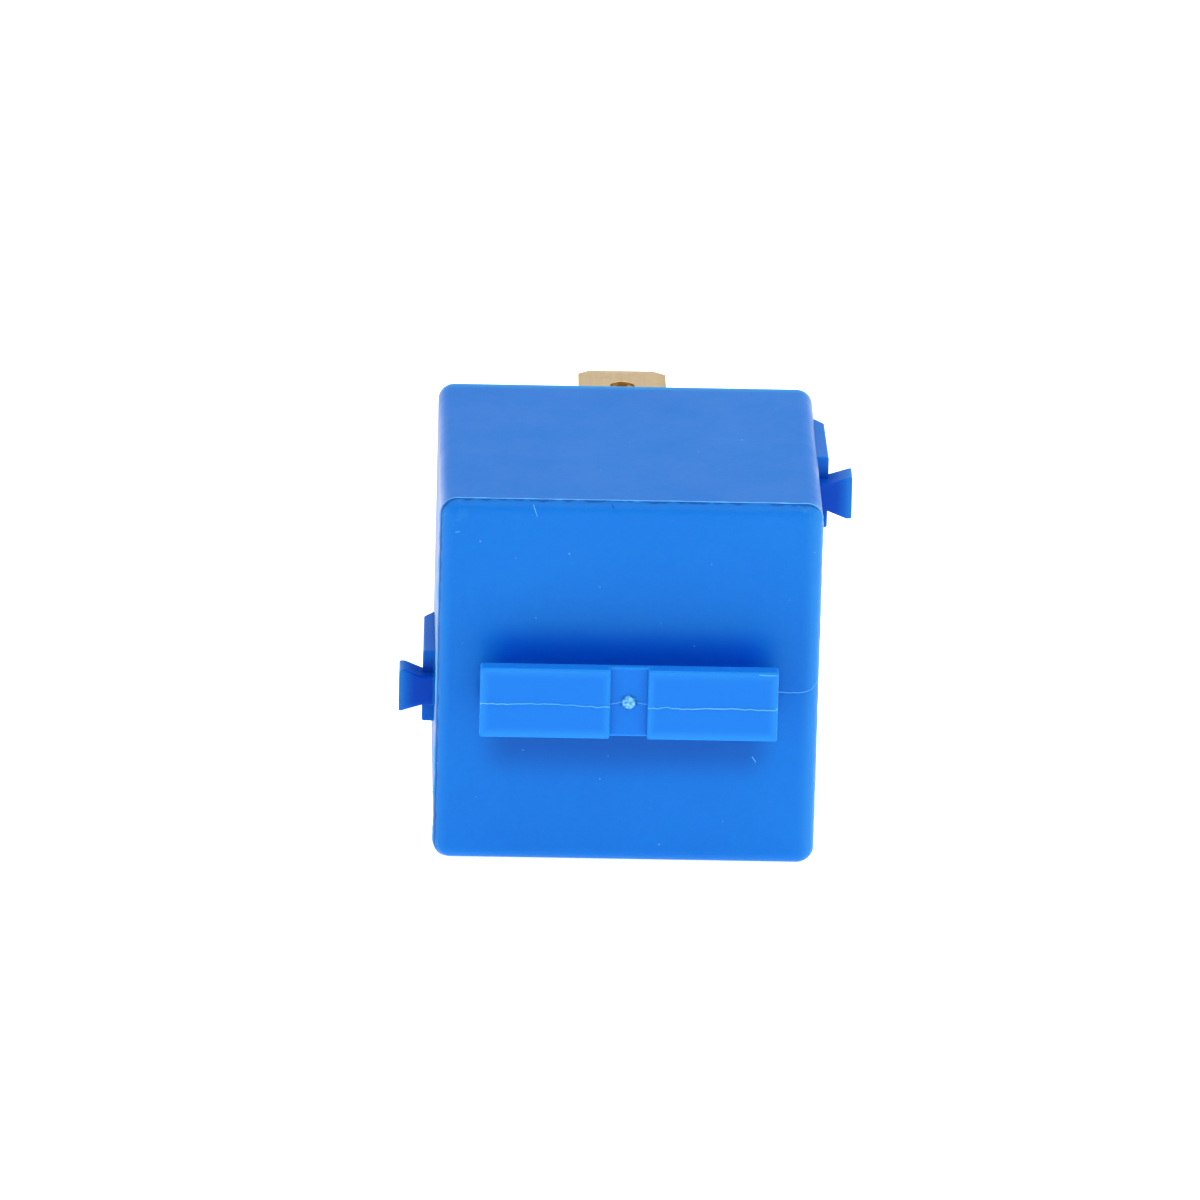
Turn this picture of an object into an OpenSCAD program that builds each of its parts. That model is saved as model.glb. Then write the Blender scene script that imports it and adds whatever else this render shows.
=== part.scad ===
// Plug-in changeover relay in a moulded cover with a T-shaped pull grip.
// It lies on one long side wall: +Z is up, the closed end and its grip face -Y, the blades point to +Y.
// Lengths along Y are first measured from the closed end's outer face, then moved to the frame's origin,
// which is below the middle of the outline at the height of the surface that the relay lies on.

/* [Footprint] */
// Width of a plug blade
blade_w = 6.3; // [5.8:0.1:6.8]
// Thickness of a plug blade and of the strip that the terminals are cut from
blade_t = 0.8; // [0.6:0.05:1.0]
// How far the blade tips reach past the cover's rim
blade_reach = 12; // [9:0.1:14]
// Height of the make blade above the cover's middle
make_blade_off = 10.1; // [9.6:0.1:10.8]
// Distance from the make blade down to the break blade
break_blade_pitch = 8; // [7.6:0.1:8.6]
// Distance of each coil blade from the cover's middle plane
coil_blade_off = 8.4; // [8.2:0.1:8.8]
// Height of the coil blades above the cover's middle
coil_blade_rise = 1; // [0:0.1:1.4]
// Depth of the common blade's middle below the cover's middle
common_blade_drop = 6.9; // [6.7:0.1:7.2]
// Diameter of the detent hole in each blade
detent_d = 1.75; // [1.2:0.05:2.4]
// Distance of the detent hole from the blade's tip
detent_back = 3.8; // [3:0.1:5]
// Width of the chamfer on each corner of a blade's tip
tip_chamfer_w = 0.85; // [0.4:0.05:1.2]
// Length of the chamfer on each corner of a blade's tip
tip_chamfer_l = 1.3; // [0.6:0.1:2]

/* [Cover] */
// Thickness of the cover's side walls
wall = 1.1; // [0.8:0.05:1.6]
// Thickness of the cover's closed end
end_wall = 1.2; // [0.9:0.05:2]
// Room between the outermost terminal and the side wall
side_room = 1.7; // [1.3:0.1:2.4]
// Room between the closed end and the break terminal's arm
head_room = 0.7; // [0.4:0.05:1.5]
// Radius of the four long edges outside
corner_r = 1.15; // [1:0.05:2]
// Radius of the four long edges inside
inner_r = 0.5; // [0.2:0.05:1]
// Radius round the closed end
end_fillet = 0.9; // [0.4:0.05:0.95]

/* [Pull grip] */
// Length of the grip's head
grip_w = 20.7; // [14:0.1:24]
// Height of the grip's head
grip_h = 5.1; // [4:0.1:7]
// Thickness of the grip's head
grip_t = 1.25; // [0.9:0.05:1.8]
// How far the grip stands off the closed end
grip_stand = 4.1; // [3:0.1:6]
// Thickness of the web that carries the grip's head
grip_web_t = 2.2; // [1.6:0.1:3]
// Radius where the web meets the closed end
grip_root_r = 0.5; // [0.2:0.05:0.8]
// Width of the recess across the middle of the head
grip_recess_w = 2.6; // [1.6:0.1:4]
// Depth of the recess across the middle of the head
grip_recess_d = 0.6; // [0.3:0.05:0.8]
// Diameter of the trimmed gate mark in the recess
gate_d = 0.92; // [0.6:0.02:1.4]
// Height of the trimmed gate mark
gate_h = 0.12; // [0.05:0.01:0.3]

/* [Side keys] */
// Thickness of each side pad
pad_t = 0.85; // [0.6:0.05:1.2]
// Height of each side pad
pad_h = 5.3; // [4.6:0.1:6.5]
// Length of each side pad at its outer face
pad_l = 7.3; // [5:0.1:9]
// Distance of the pads from the closed end
pad_back = 14; // [10:0.1:15]
// Slope at the end of a pad, measured along the wall
pad_slope = 1.1; // [0.5:0.1:1.6]
// Draft of a pad's outer face over its length
pad_draft = 0.1; // [0.05:0.01:0.2]
// Depth of the left pad's middle below the cover's middle
left_pad_drop = 5.55; // [4:0.05:7]
// Height of the right pad's middle above the cover's middle
right_pad_rise = 9.5; // [7:0.1:9.7]
// Height of the dovetail key where it leaves the pad
key_root_h = 2.1; // [1.6:0.05:2.8]
// Height of the dovetail key at its outer face
key_outer_h = 3.15; // [3:0.05:4]
// How far the dovetail key stands out from the pad
key_out = 1.65; // [1:0.05:2.4]
// Length of the dovetail key along the cover
key_l = 2.2; // [1.8:0.1:3.4]
// How far the key starts before its pad
key_lead = 1.1; // [0.5:0.1:1.6]
// Width of the flat that blunts one outer corner of each key
key_flat = 0.38; // [0.1:0.02:0.6]

/* [Base] */
// Thickness of the base
base_t = 3; // [2.6:0.1:4]
// How far the base lies inside the cover's rim
base_inset = 0.1; // [0:0.05:0.6]
// Gap between the base and the cover all round
base_gap = 0.12; // [0.08:0.01:0.2]
// Depth of the moulded relief in the base's plug side
relief_d = 0.8; // [0.3:0.05:1.2]
// Width of the rim round the relief
relief_rim = 1.3; // [0.8:0.1:2]
// Wall of the collar round each blade
collar_wall = 0.7; // [0.5:0.05:0.9]
// Height of the pads that the yoke stands on
standoff = 1.2; // [1:0.1:2]
// Side gap of a strip in its slot
slot_gap = 0.02; // [0.01:0.01:0.05]

/* [Magnet] */
// Length of the bobbin
bobbin_l = 12.1; // [10:0.1:15]
// Side of the bobbin's square flanges
flange_w = 14; // [13:0.1:14.4]
// Thickness of the bobbin's flanges
flange_t = 1; // [0.8:0.05:1.4]
// Outer radius of the bobbin's barrel
barrel_r = 4; // [3.6:0.05:4.4]
// Radius of the core
core_r = 3; // [2.4:0.05:3.2]
// Radius of the core's pole face
pole_r = 4.6; // [4:0.05:5.4]
// How far the pole face stands out of the bobbin
pole_proud = 0.37; // [0.2:0.01:0.6]
// Thickness of the pole face's disc
pole_t = 1; // [0.8:0.05:1.3]
// Radius of the core's riveted tail
tail_r = 2; // [1.6:0.05:2.3]
// Radius of the rivet head on the core's tail
tail_head_r = 2.6; // [2.4:0.05:3]
// Thickness of the rivet head on the core's tail
tail_head_t = 0.5; // [0.3:0.05:0.8]
// Outer radius of the winding
winding_r = 6.4; // [5.6:0.05:6.6]
// Diameter of the winding wire
wire_d = 0.36; // [0.3:0.02:0.5]
// Width of the yoke and of its foot
yoke_w = 13; // [12:0.1:14]
// Thickness of the yoke
yoke_t = 1.6; // [1.2:0.05:2]
// Gap between the bobbin's flange and the yoke
flange_gap = 0.3; // [0.2:0.05:0.5]
// Radius inside the yoke's bend
yoke_bend_r = 0.4; // [0.3:0.05:0.8]
// Width of each tenon that locks the yoke in the base
tenon_w = 2; // [1.4:0.1:2.6]
// Distance of each tenon's middle from the middle plane
tenon_off = 4.5; // [4:0.1:5]

/* [Armature] */
// Swing of the armature from open to pulled in, in degrees
swing = 3.2; // [2.4:0.1:3.6]
// Thickness of the armature
armature_t = 1.5; // [1.2:0.05:1.8]
// Width of the armature
armature_w = 11; // [9:0.1:11.4]
// How far the armature's free end stops short of the bobbin's edge
armature_short = 0.9; // [0.5:0.1:2]
// How far the armature's tail reaches past the yoke
tail_reach = 2.2; // [2:0.05:2.3]
// Width of the armature's tail
tail_w = 4; // [3:0.1:5]
// Gap left between pole face and armature when pulled in
residual_gap = 0.07; // [0.04:0.01:0.12]
// Gap in the armature's knife-edge bearing
hinge_gap = 0.03; // [0.02:0.01:0.05]
// Side gap between the armature and the yoke's ears
ear_gap = 0.2; // [0.1:0.05:0.3]

/* [Contacts] */
// Thickness of the contact leaf
leaf_t = 0.3; // [0.2:0.02:0.4]
// Width of the contact leaf over the armature
leaf_w = 5; // [4:0.1:6]
// Width of the contact leaf's tip
leaf_tip_w = 3.6; // [3:0.1:4.2]
// Radius of the contact heads
contact_r = 1.3; // [1:0.05:1.5]
// Radius of the contacts' shanks
shank_r = 0.7; // [0.5:0.05:0.8]
// Thickness of a contact head
contact_t = 0.65; // [0.5:0.05:0.8]
// Height of the dome on a contact head
dome_h = 0.2; // [0.12:0.01:0.25]
// Gap between two closed contacts in this model
touch_gap = 0.03; // [0.02:0.01:0.05]
// Gap between the bobbin's edge and the make terminal's shelf
shelf_gap = 0.6; // [0.4:0.05:0.8]
// Distance of the contacts' axis from the shelf's edge
contact_inset = 1.1; // [0.9:0.05:1.3]
// Radius inside the bends of the terminals
bend_r = 0.4; // [0.3:0.05:0.6]
// Width of the break terminal's riser
riser_w = 3; // [2.4:0.1:3.4]
// Gap between the break terminal's riser and the make terminal
riser_gap = 0.5; // [0.4:0.05:0.8]
// Radius of the two leaf rivets
rivet_r = 0.6; // [0.4:0.05:0.8]
// Radius of the leaf rivets' heads
rivet_head_r = 1; // [0.8:0.05:1.2]

/* [Return spring] */
// Mean radius of the return spring
spring_r = 0.85; // [0.7:0.05:0.95]
// Diameter of the return spring's wire
spring_wire_d = 0.28; // [0.2:0.01:0.32]
// Number of turns in the return spring
spring_turns = 9; // [6:1:12]
// Gap between the return spring and the yoke
spring_gap = 0.35; // [0.25:0.05:0.5]
// Length of the return spring's wound part
spring_l = 5.4; // [4.5:0.1:6.5]

/* [Suppression resistor] */
// Length of the resistor's body
resistor_l = 6.3; // [5:0.1:7]
// Radius of the resistor's body
resistor_r = 1; // [0.8:0.05:1.05]
// Thickness of the coating's bulge over the resistor's end caps
resistor_bulge = 0.12; // [0.05:0.01:0.2]
// Gap between the resistor and the make terminal
resistor_gap = 0.25; // [0.15:0.05:0.4]
// Radius of the resistor's leads
lead_r = 0.28; // [0.2:0.02:0.35]
// Radius of the coil's lead wires
coil_lead_r = 0.2; // [0.14:0.02:0.26]
// Radius of the copper braid
braid_r = 0.45; // [0.3:0.05:0.5]

/* [Hidden] */
$fn = 48;
over = 1;
fit = 0.05;

// Heights, measured from the surface that the relay lies on
half_in = make_blade_off + blade_t / 2 + side_room;
cover_w = 2 * (half_in + wall);
mid_z = cover_w / 2;
make_z = mid_z + make_blade_off;
break_z = make_z - break_blade_pitch;
coil_blade_z = mid_z + coil_blade_rise;
common_z = mid_z - common_blade_drop;
flange_top_z = mid_z + flange_w / 2;
yoke_in_z = mid_z - flange_w / 2 - flange_gap;
yoke_out_z = yoke_in_z - yoke_t;
shelf_z = flange_top_z + shelf_gap;
contact_z = shelf_z + contact_inset;
left_pad_z = mid_z - left_pad_drop;
right_pad_z = mid_z + right_pad_rise;
spring_z = yoke_out_z - spring_gap - spring_r - spring_wire_d / 2;
resistor_z = make_z - blade_t / 2 - resistor_gap - resistor_bulge - resistor_r;

// Depths of the stack, measured upwards from the base's plug side, towards the closed end
stack_base_in = base_t;
stack_foot_out = stack_base_in + standoff;
stack_foot_in = stack_foot_out + yoke_t;
stack_bobbin = stack_foot_in + bobbin_l;
stack_pole = stack_bobbin + pole_proud;
stack_under = stack_pole + residual_gap;
stack_yoke_top = stack_under - hinge_gap;
stack_leaf = stack_under + armature_t;
stack_leaf_top = stack_leaf + leaf_t;
stack_upper_head = stack_leaf_top + contact_t;
lever = contact_z - yoke_out_z;
open_rise = lever * sin(swing) - (stack_upper_head - stack_yoke_top) * (1 - cos(swing));
stack_break_face = stack_upper_head + open_rise + touch_gap;
stack_break_arm = stack_break_face + contact_t;
stack_top = stack_break_arm + blade_t;
cover_d = end_wall + head_room + stack_top + base_inset;

// The same depths, measured from the closed end's outer face
base_out_y = cover_d - base_inset;
base_in_y = base_out_y - stack_base_in;
foot_out_y = base_out_y - stack_foot_out;
foot_in_y = base_out_y - stack_foot_in;
bobbin_y = base_out_y - stack_bobbin;
pole_y = base_out_y - stack_pole;
under_y = base_out_y - stack_under;
yoke_top_y = base_out_y - stack_yoke_top;
leaf_y = base_out_y - stack_leaf;
leaf_top_y = base_out_y - stack_leaf_top;
break_face_y = base_out_y - stack_break_face;
break_arm_y = base_out_y - stack_break_arm;
make_face_y = leaf_y + contact_t + touch_gap;
shelf_y = make_face_y + contact_t;
tip_y = cover_d + blade_reach;

// Distance from the closed end to the frame's origin
origin_y = (tip_y - grip_stand) / 2;

// Places that several pieces share
riser_x = blade_w / 2 + riser_gap;
break_foot_w = 3;
common_foot_w = 2.6;
common_foot_z = common_z + blade_w / 2 - common_foot_w;
common_riser_x = coil_blade_off + blade_t * 1.5;
common_riser_l = 5.2;
coil_post_w = blade_w / 3;
resistor_y = foot_in_y - flange_t - 1.5 * resistor_r;
yoke_foot_top_z = mid_z + yoke_w / 2;
armature_top_z = flange_top_z - armature_short;
leaf_low_z = mid_z - pole_r;
leaf_top_z = contact_z + contact_r + 0.3;
coil_post_y = resistor_y - lead_r * 1.5;
coil_post_l = base_in_y - coil_post_y;
leaf_rivet_z = leaf_low_z + rivet_head_r * 1.5;
leaf_rivet_x = leaf_w * 0.3;
rivet_head_t = rivet_head_r * 0.4;
hook_plate_t = 0.6;
spring_y = yoke_top_y + 1.2;
hook_y = spring_y + spring_l + 0.9;
hook_hole_r = 0.32;
ear_w = yoke_w / 2 - armature_w / 2 - ear_gap;
ear_rise = armature_t * 0.7;

module to_frame() {
    translate([0, -origin_y, 0]) children();
}

// A profile drawn as (y, z) and extruded along X
module along_x(x0, len) {
    translate([x0, 0, 0]) rotate([90, 0, 90]) linear_extrude(len) children();
}

// A profile drawn as (x, z) and extruded along Y
module along_y(y0, len) {
    translate([0, y0 + len, 0]) rotate([90, 0, 0]) linear_extrude(len) children();
}

// A turned profile drawn as (radius, depth), standing on the plane y0 and growing towards +Y
module turned_y(x, y0, z) {
    translate([x, y0, z]) rotate([-90, 0, 0]) rotate_extrude() children();
}

module rod_y(x, y0, z, r, len) {
    translate([x, y0, z]) rotate([-90, 0, 0]) cylinder(h = len, r = r);
}

// The armature group turned from pulled in to open, about the yoke's outer edge
module opened() {
    translate([0, yoke_top_y, yoke_out_z])
        rotate([swing, 0, 0])
            translate([0, -yoke_top_y, -yoke_out_z])
                children();
}

module round_square(w, r) {
    square([w - 2 * r, w], center = true);
    square([w, w - 2 * r], center = true);
    for (sx = [-1, 1], sz = [-1, 1])
        translate([sx * (w / 2 - r), sz * (w / 2 - r)]) circle(r);
}

// An L with a round corner: leg a along the first axis, leg b along the second
module elbow(a, b, t, r) {
    ro = r + t;
    translate([ro, 0]) square([a - ro, t]);
    translate([0, ro]) square([t, b - ro]);
    translate([ro, ro]) intersection() {
        difference() {
            circle(ro);
            circle(r);
        }
        translate([-ro, -ro]) square(ro);
    }
}

// The closed end's rounded edge: distance out from the corner's axis, and depth from the closed face
module end_edge() {
    square([corner_r - end_fillet, end_fillet]);
    translate([corner_r - end_fillet, end_fillet]) intersection() {
        circle(end_fillet);
        translate([0, -end_fillet]) square(end_fillet);
    }
}

module end_cap() {
    h = cover_w / 2 - corner_r;
    translate([0, 0, mid_z]) {
        translate([-h, 0, -h]) cube([2 * h, end_fillet, 2 * h]);
        for (q = [0:3]) rotate([0, 90 * q, 0]) {
            translate([h, 0, -h]) linear_extrude(2 * h) end_edge();
            translate([h, 0, -h]) rotate([-90, 0, 0]) rotate_extrude(angle = 90) end_edge();
        }
    }
}

module cover_shell() {
    difference() {
        union() {
            end_cap();
            along_y(end_fillet, cover_d - end_fillet) translate([0, mid_z]) round_square(cover_w, corner_r);
        }
        along_y(end_wall, cover_d) translate([0, mid_z]) round_square(2 * half_in, inner_r);
    }
}

// The T-shaped grip's section, drawn as (y, z) about its middle height, with filleted roots
module grip_section() {
    web_l = grip_stand - grip_t;
    translate([-grip_stand, -grip_h / 2]) square([grip_t, grip_h]);
    translate([-web_l, -grip_web_t / 2]) square([web_l, grip_web_t]);
    for (s = [-1, 1]) translate([-grip_root_r, s * (grip_web_t / 2 + grip_root_r)]) difference() {
        translate([grip_root_r / 2, -s * grip_root_r / 2]) square(grip_root_r, center = true);
        circle(grip_root_r);
    }
}

module grip() {
    intersection() {
        along_x(-grip_w / 2, grip_w) translate([0, mid_z]) grip_section();
        translate([-grip_w / 2, -grip_stand, 0]) cube([grip_w, grip_stand, cover_w]);
    }
}

module grip_recess() {
    translate([-grip_recess_w / 2, -grip_stand - over, mid_z - grip_h])
        cube([grip_recess_w, grip_recess_d + over, 2 * grip_h]);
}

module gate_mark() {
    rod_y(0, grip_recess_d - grip_stand - gate_h, mid_z, gate_d / 2, gate_h);
}

// Side pad with a sloped end, drawn from above for the right-hand wall
module pad(z) {
    translate([mid_z, pad_back, z - pad_h / 2]) linear_extrude(pad_h)
        polygon([[0, 0], [pad_t, 0], [pad_t - pad_draft, pad_l], [0, pad_l + pad_slope]]);
}

// Dovetail that narrows towards its pad; blunt says which outer corner has the flat, 1 the upper, -1 the lower
module dovetail(blunt) {
    outer_x = pad_t + key_out;
    polygon([
        [0, -blunt * key_root_h / 2], [pad_t, -blunt * key_root_h / 2], [outer_x, -blunt * key_outer_h / 2],
        [outer_x, blunt * key_outer_h / 2], [outer_x - key_flat, blunt * key_outer_h / 2],
        [pad_t, blunt * key_root_h / 2], [0, blunt * key_root_h / 2]
    ]);
}

module key(z, blunt) {
    along_y(pad_back - key_lead, key_l) translate([mid_z, z]) dovetail(blunt);
}

module cover() {
    color([0.13, 0.5, 0.93]) to_frame() {
        difference() {
            union() {
                cover_shell();
                grip();
            }
            grip_recess();
        }
        gate_mark();
        pad(right_pad_z);
        key(right_pad_z, -1);
        mirror([1, 0, 0]) {
            pad(left_pad_z);
            key(left_pad_z, 1);
        }
    }
}

// A blade with chamfered corners, a bevelled edge and a detent hole, flat in the plane z = 0, tip towards +Y
module blade(y0) {
    l = tip_y - y0;
    hw = blade_w / 2;
    bevel = blade_t / 4;
    difference() {
        intersection() {
            translate([0, y0, -blade_t / 2]) linear_extrude(blade_t) polygon([
                [-hw, 0], [-hw, l - tip_chamfer_l], [tip_chamfer_w - hw, l],
                [hw - tip_chamfer_w, l], [hw, l - tip_chamfer_l], [hw, 0]
            ]);
            along_x(-hw, blade_w) polygon([
                [y0, -blade_t / 2], [tip_y - tip_chamfer_l, -blade_t / 2], [tip_y, bevel - blade_t / 2],
                [tip_y, blade_t / 2 - bevel], [tip_y - tip_chamfer_l, blade_t / 2], [y0, blade_t / 2]
            ]);
        }
        translate([0, tip_y - detent_back, -blade_t]) cylinder(h = 2 * blade_t, d = detent_d);
    }
}

module flat_blade(y0, z) {
    translate([0, 0, z]) blade(y0);
}

module upright_blade(x, y0, z) {
    translate([x, 0, z]) rotate([0, 90, 0]) blade(y0);
}

// Slots, collars and seats in the base use the same outlines as the strips that go through them
module slot_outline(x, z, w, h, grow) {
    translate([x - w / 2 - grow, z - h / 2 - grow]) square([w + 2 * grow, h + 2 * grow]);
}

module blade_outlines(grow) {
    slot_outline(0, make_z, blade_w, blade_t, grow);
    slot_outline(0, break_z, blade_w, blade_t, grow);
    slot_outline(0, common_z, blade_t, blade_w, grow);
    for (s = [-1, 1]) slot_outline(s * coil_blade_off, coil_blade_z, blade_t, blade_w, grow);
}

module tenon_outlines(grow) {
    for (s = [-1, 1]) slot_outline(s * tenon_off, yoke_out_z + yoke_t / 2, tenon_w, yoke_t, grow);
}

module strip_seats() {
    translate([-blade_w / 2 - slot_gap, break_z - blade_t / 2 - slot_gap])
        square([blade_w / 2 + riser_x + riser_w + 2 * slot_gap, break_foot_w + 2 * slot_gap]);
    translate([riser_x - slot_gap, break_z - blade_t / 2 - slot_gap])
        square([riser_w + 2 * slot_gap, make_z - break_z + blade_t + 2 * slot_gap]);
    translate([-blade_t / 2 - slot_gap, common_foot_z - slot_gap])
        square([common_riser_x + blade_t / 2 + slot_gap * 2 + blade_t / 2, common_foot_w + 2 * slot_gap]);
}

module base() {
    outer_w = 2 * (half_in - base_gap);
    rear_pad = 1.8;
    color([0.09, 0.09, 0.1]) to_frame() difference() {
        union() {
            along_y(base_in_y, base_t) translate([0, mid_z]) round_square(outer_w, inner_r);
            along_y(foot_out_y, standoff + fit) difference() {
                for (s = [-1, 1])
                    slot_outline(s * tenon_off, yoke_out_z + yoke_t / 2, tenon_w + 1.6, yoke_t, 0.4);
                tenon_outlines(slot_gap);
            }
            along_y(foot_out_y, standoff + fit) {
                translate([-yoke_w / 2 + 0.5, yoke_foot_top_z - rear_pad]) square(rear_pad);
                translate([-rear_pad / 2, yoke_foot_top_z - 1.2]) square([rear_pad, 1.2]);
            }
        }
        along_y(base_out_y - relief_d, relief_d + over) difference() {
            translate([0, mid_z]) round_square(outer_w - 2 * relief_rim, inner_r);
            blade_outlines(collar_wall);
            tenon_outlines(collar_wall / 2);
        }
        along_y(base_in_y - over, base_t + 2 * over) {
            blade_outlines(slot_gap);
            tenon_outlines(slot_gap);
        }
        along_y(base_in_y - over, blade_t + over) strip_seats();
    }
}

module terminal_30() {
    color([0.82, 0.72, 0.5]) to_frame() {
        foot_end_x = common_riser_x + blade_t / 2;
        upright_blade(0, base_in_y + blade_t - fit, common_z);
        translate([-blade_t / 2, base_in_y, common_foot_z])
            cube([foot_end_x + blade_t / 2 - bend_r - blade_t, blade_t, common_foot_w]);
        translate([0, 0, common_foot_z]) linear_extrude(common_foot_w)
            translate([foot_end_x, base_in_y + blade_t]) rotate(180)
                elbow(bend_r + blade_t + fit, common_riser_l, blade_t, bend_r);
    }
}

// Coil terminal: a blade whose inner end narrows to a solder post
module coil_terminal(s) {
    color([0.82, 0.72, 0.5]) to_frame() {
        upright_blade(s * coil_blade_off, base_in_y, coil_blade_z);
        translate([s * coil_blade_off - blade_t / 2, coil_post_y, coil_blade_z - coil_post_w / 2])
            cube([blade_t, coil_post_l + fit, coil_post_w]);
    }
}

module terminal_85() {
    coil_terminal(-1);
}

module terminal_86() {
    coil_terminal(1);
}

// Make terminal: the blade runs on as an upright and bends over into a shelf that carries the contact
module terminal_87() {
    color([0.82, 0.72, 0.5]) to_frame() {
        flat_blade(base_in_y - fit, make_z);
        difference() {
            along_x(-blade_w / 2, blade_w)
                translate([shelf_y, make_z + blade_t / 2]) mirror([0, 1])
                    elbow(base_in_y - shelf_y, make_z + blade_t / 2 - shelf_z, blade_t, bend_r);
            rod_y(0, shelf_y - over, contact_z, shank_r + slot_gap, blade_t + 2 * over);
        }
    }
}

// Break terminal: foot in the base, riser beside the make terminal, and an arm over the moving contact
module terminal_87a() {
    arm_low_z = contact_z - contact_r - 0.2;
    arm_top_y = break_arm_y - blade_t;
    turn_l = bend_r + blade_t;
    out_z = make_z + blade_t / 2;
    color([0.82, 0.72, 0.5]) to_frame() {
        flat_blade(base_in_y + blade_t - fit, break_z);
        translate([-blade_w / 2, base_in_y, break_z - blade_t / 2])
            cube([blade_w / 2 + riser_x + riser_w, blade_t, break_foot_w]);
        along_x(riser_x, riser_w)
            translate([base_in_y + blade_t, out_z]) rotate(180)
                elbow(base_in_y + blade_t - arm_top_y - turn_l, out_z - break_z, blade_t, bend_r);
        difference() {
            union() {
                along_x(riser_x, riser_w)
                    translate([arm_top_y, out_z]) mirror([0, 1])
                        elbow(turn_l + fit, out_z - arm_low_z, blade_t, bend_r);
                translate([-leaf_tip_w / 2, arm_top_y, arm_low_z])
                    cube([leaf_tip_w / 2 + riser_x + fit, blade_t, out_z - turn_l - arm_low_z]);
            }
            rod_y(0, arm_top_y - over, contact_z, shank_r + slot_gap, blade_t + 2 * over);
        }
    }
}

// L-shaped yoke with ears beside the armature, tenons into the base and a tab for the spring
module yoke() {
    foot_l = yoke_foot_top_z - yoke_out_z;
    color([0.66, 0.66, 0.64]) to_frame() difference() {
        union() {
            along_x(-yoke_w / 2, yoke_w)
                translate([foot_out_y, yoke_out_z]) mirror([1, 0])
                    elbow(foot_out_y - yoke_top_y, foot_l, yoke_t, yoke_bend_r);
            for (s = [-1, 1]) {
                translate([s * (yoke_w / 2 - ear_w / 2) - ear_w / 2, yoke_top_y - ear_rise, yoke_out_z])
                    cube([ear_w, ear_rise + fit, yoke_t]);
                translate([s * tenon_off - tenon_w / 2, foot_out_y - yoke_bend_r - yoke_t, yoke_out_z])
                    cube([tenon_w, base_out_y - foot_out_y + yoke_bend_r + yoke_t, yoke_t]);
            }
            translate([-tail_w / 4, hook_y, spring_z - spring_r])
                cube([tail_w / 2, hook_plate_t, yoke_out_z + fit - spring_z + spring_r]);
        }
        rod_y(0, foot_in_y - over, mid_z, tail_r + slot_gap, yoke_t + 2 * over);
        rod_y(0, hook_y - over, spring_z, hook_hole_r, hook_plate_t + 2 * over);
    }
}

module core() {
    shank_y = foot_in_y - pole_y;
    tail_y = foot_out_y - pole_y;
    edge = 0.15;
    color([0.7, 0.7, 0.69]) to_frame() turned_y(0, pole_y, mid_z) polygon([
        [0, 0], [pole_r - edge, 0], [pole_r, edge], [pole_r, pole_t], [core_r, pole_t], [core_r, shank_y],
        [tail_r, shank_y], [tail_r, tail_y], [tail_head_r, tail_y], [tail_head_r - edge, tail_y + tail_head_t],
        [0, tail_y + tail_head_t]
    ]);
}

module bobbin() {
    seat_d = pole_t - pole_proud + fit;
    color([0.86, 0.84, 0.78]) to_frame() difference() {
        union() {
            along_y(bobbin_y, flange_t) translate([0, mid_z]) round_square(flange_w, 1);
            rod_y(0, bobbin_y, mid_z, barrel_r, bobbin_l);
            along_y(foot_in_y - flange_t, flange_t) translate([0, mid_z]) round_square(flange_w, 1);
        }
        rod_y(0, bobbin_y - over, mid_z, core_r + fit, bobbin_l + 2 * over);
        rod_y(0, bobbin_y - over, mid_z, pole_r + fit, seat_d + over);
    }
}

// Wound copper: the outer layer shows its turns
module coil_winding() {
    room = bobbin_l - 2 * flange_t - 2 * fit;
    turns = floor(room / wire_d) - 1;
    pitch = room / (turns + 1);
    color([0.72, 0.36, 0.16]) to_frame() turned_y(0, bobbin_y + flange_t + fit, mid_z) {
        translate([barrel_r + fit, 0]) square([winding_r - barrel_r - fit - wire_d / 2, room]);
        for (i = [0:turns]) translate([winding_r - wire_d / 2, (i + 0.5) * pitch]) circle(wire_d / 2, $fn = 24);
    }
}

// A round wire through a short list of points
module wire(points, r) {
    for (i = [0:len(points) - 2]) {
        a = points[i];
        b = points[i + 1];
        d = b - a;
        l = norm(d);
        translate(a) rotate([0, acos(d[2] / l), atan2(d[1], d[0])]) cylinder(h = l, r = r, $fn = 24);
        if (i > 0) translate(a) sphere(r, $fn = 24);
    }
}

// Coil lead: out of the winding's last turn, over the solder post and round it
module coil_lead(s) {
    y = coil_post_y + 1.2;
    x_in = s * winding_r;
    x_post = s * (coil_blade_off - blade_t / 2 - coil_lead_r);
    z = coil_blade_z - coil_post_w / 2 - coil_lead_r;
    color([0.72, 0.36, 0.16]) to_frame() wire([
        [x_in + s * coil_lead_r, y, mid_z],
        [x_post, y, mid_z],
        [x_post, y, z],
        [s * (coil_blade_off + blade_t / 2 + coil_lead_r), y, z],
        [s * (coil_blade_off + blade_t / 2 + coil_lead_r), y, coil_blade_z]
    ], coil_lead_r);
}

module coil_lead_85() {
    coil_lead(-1);
}

module coil_lead_86() {
    coil_lead(1);
}

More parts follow.
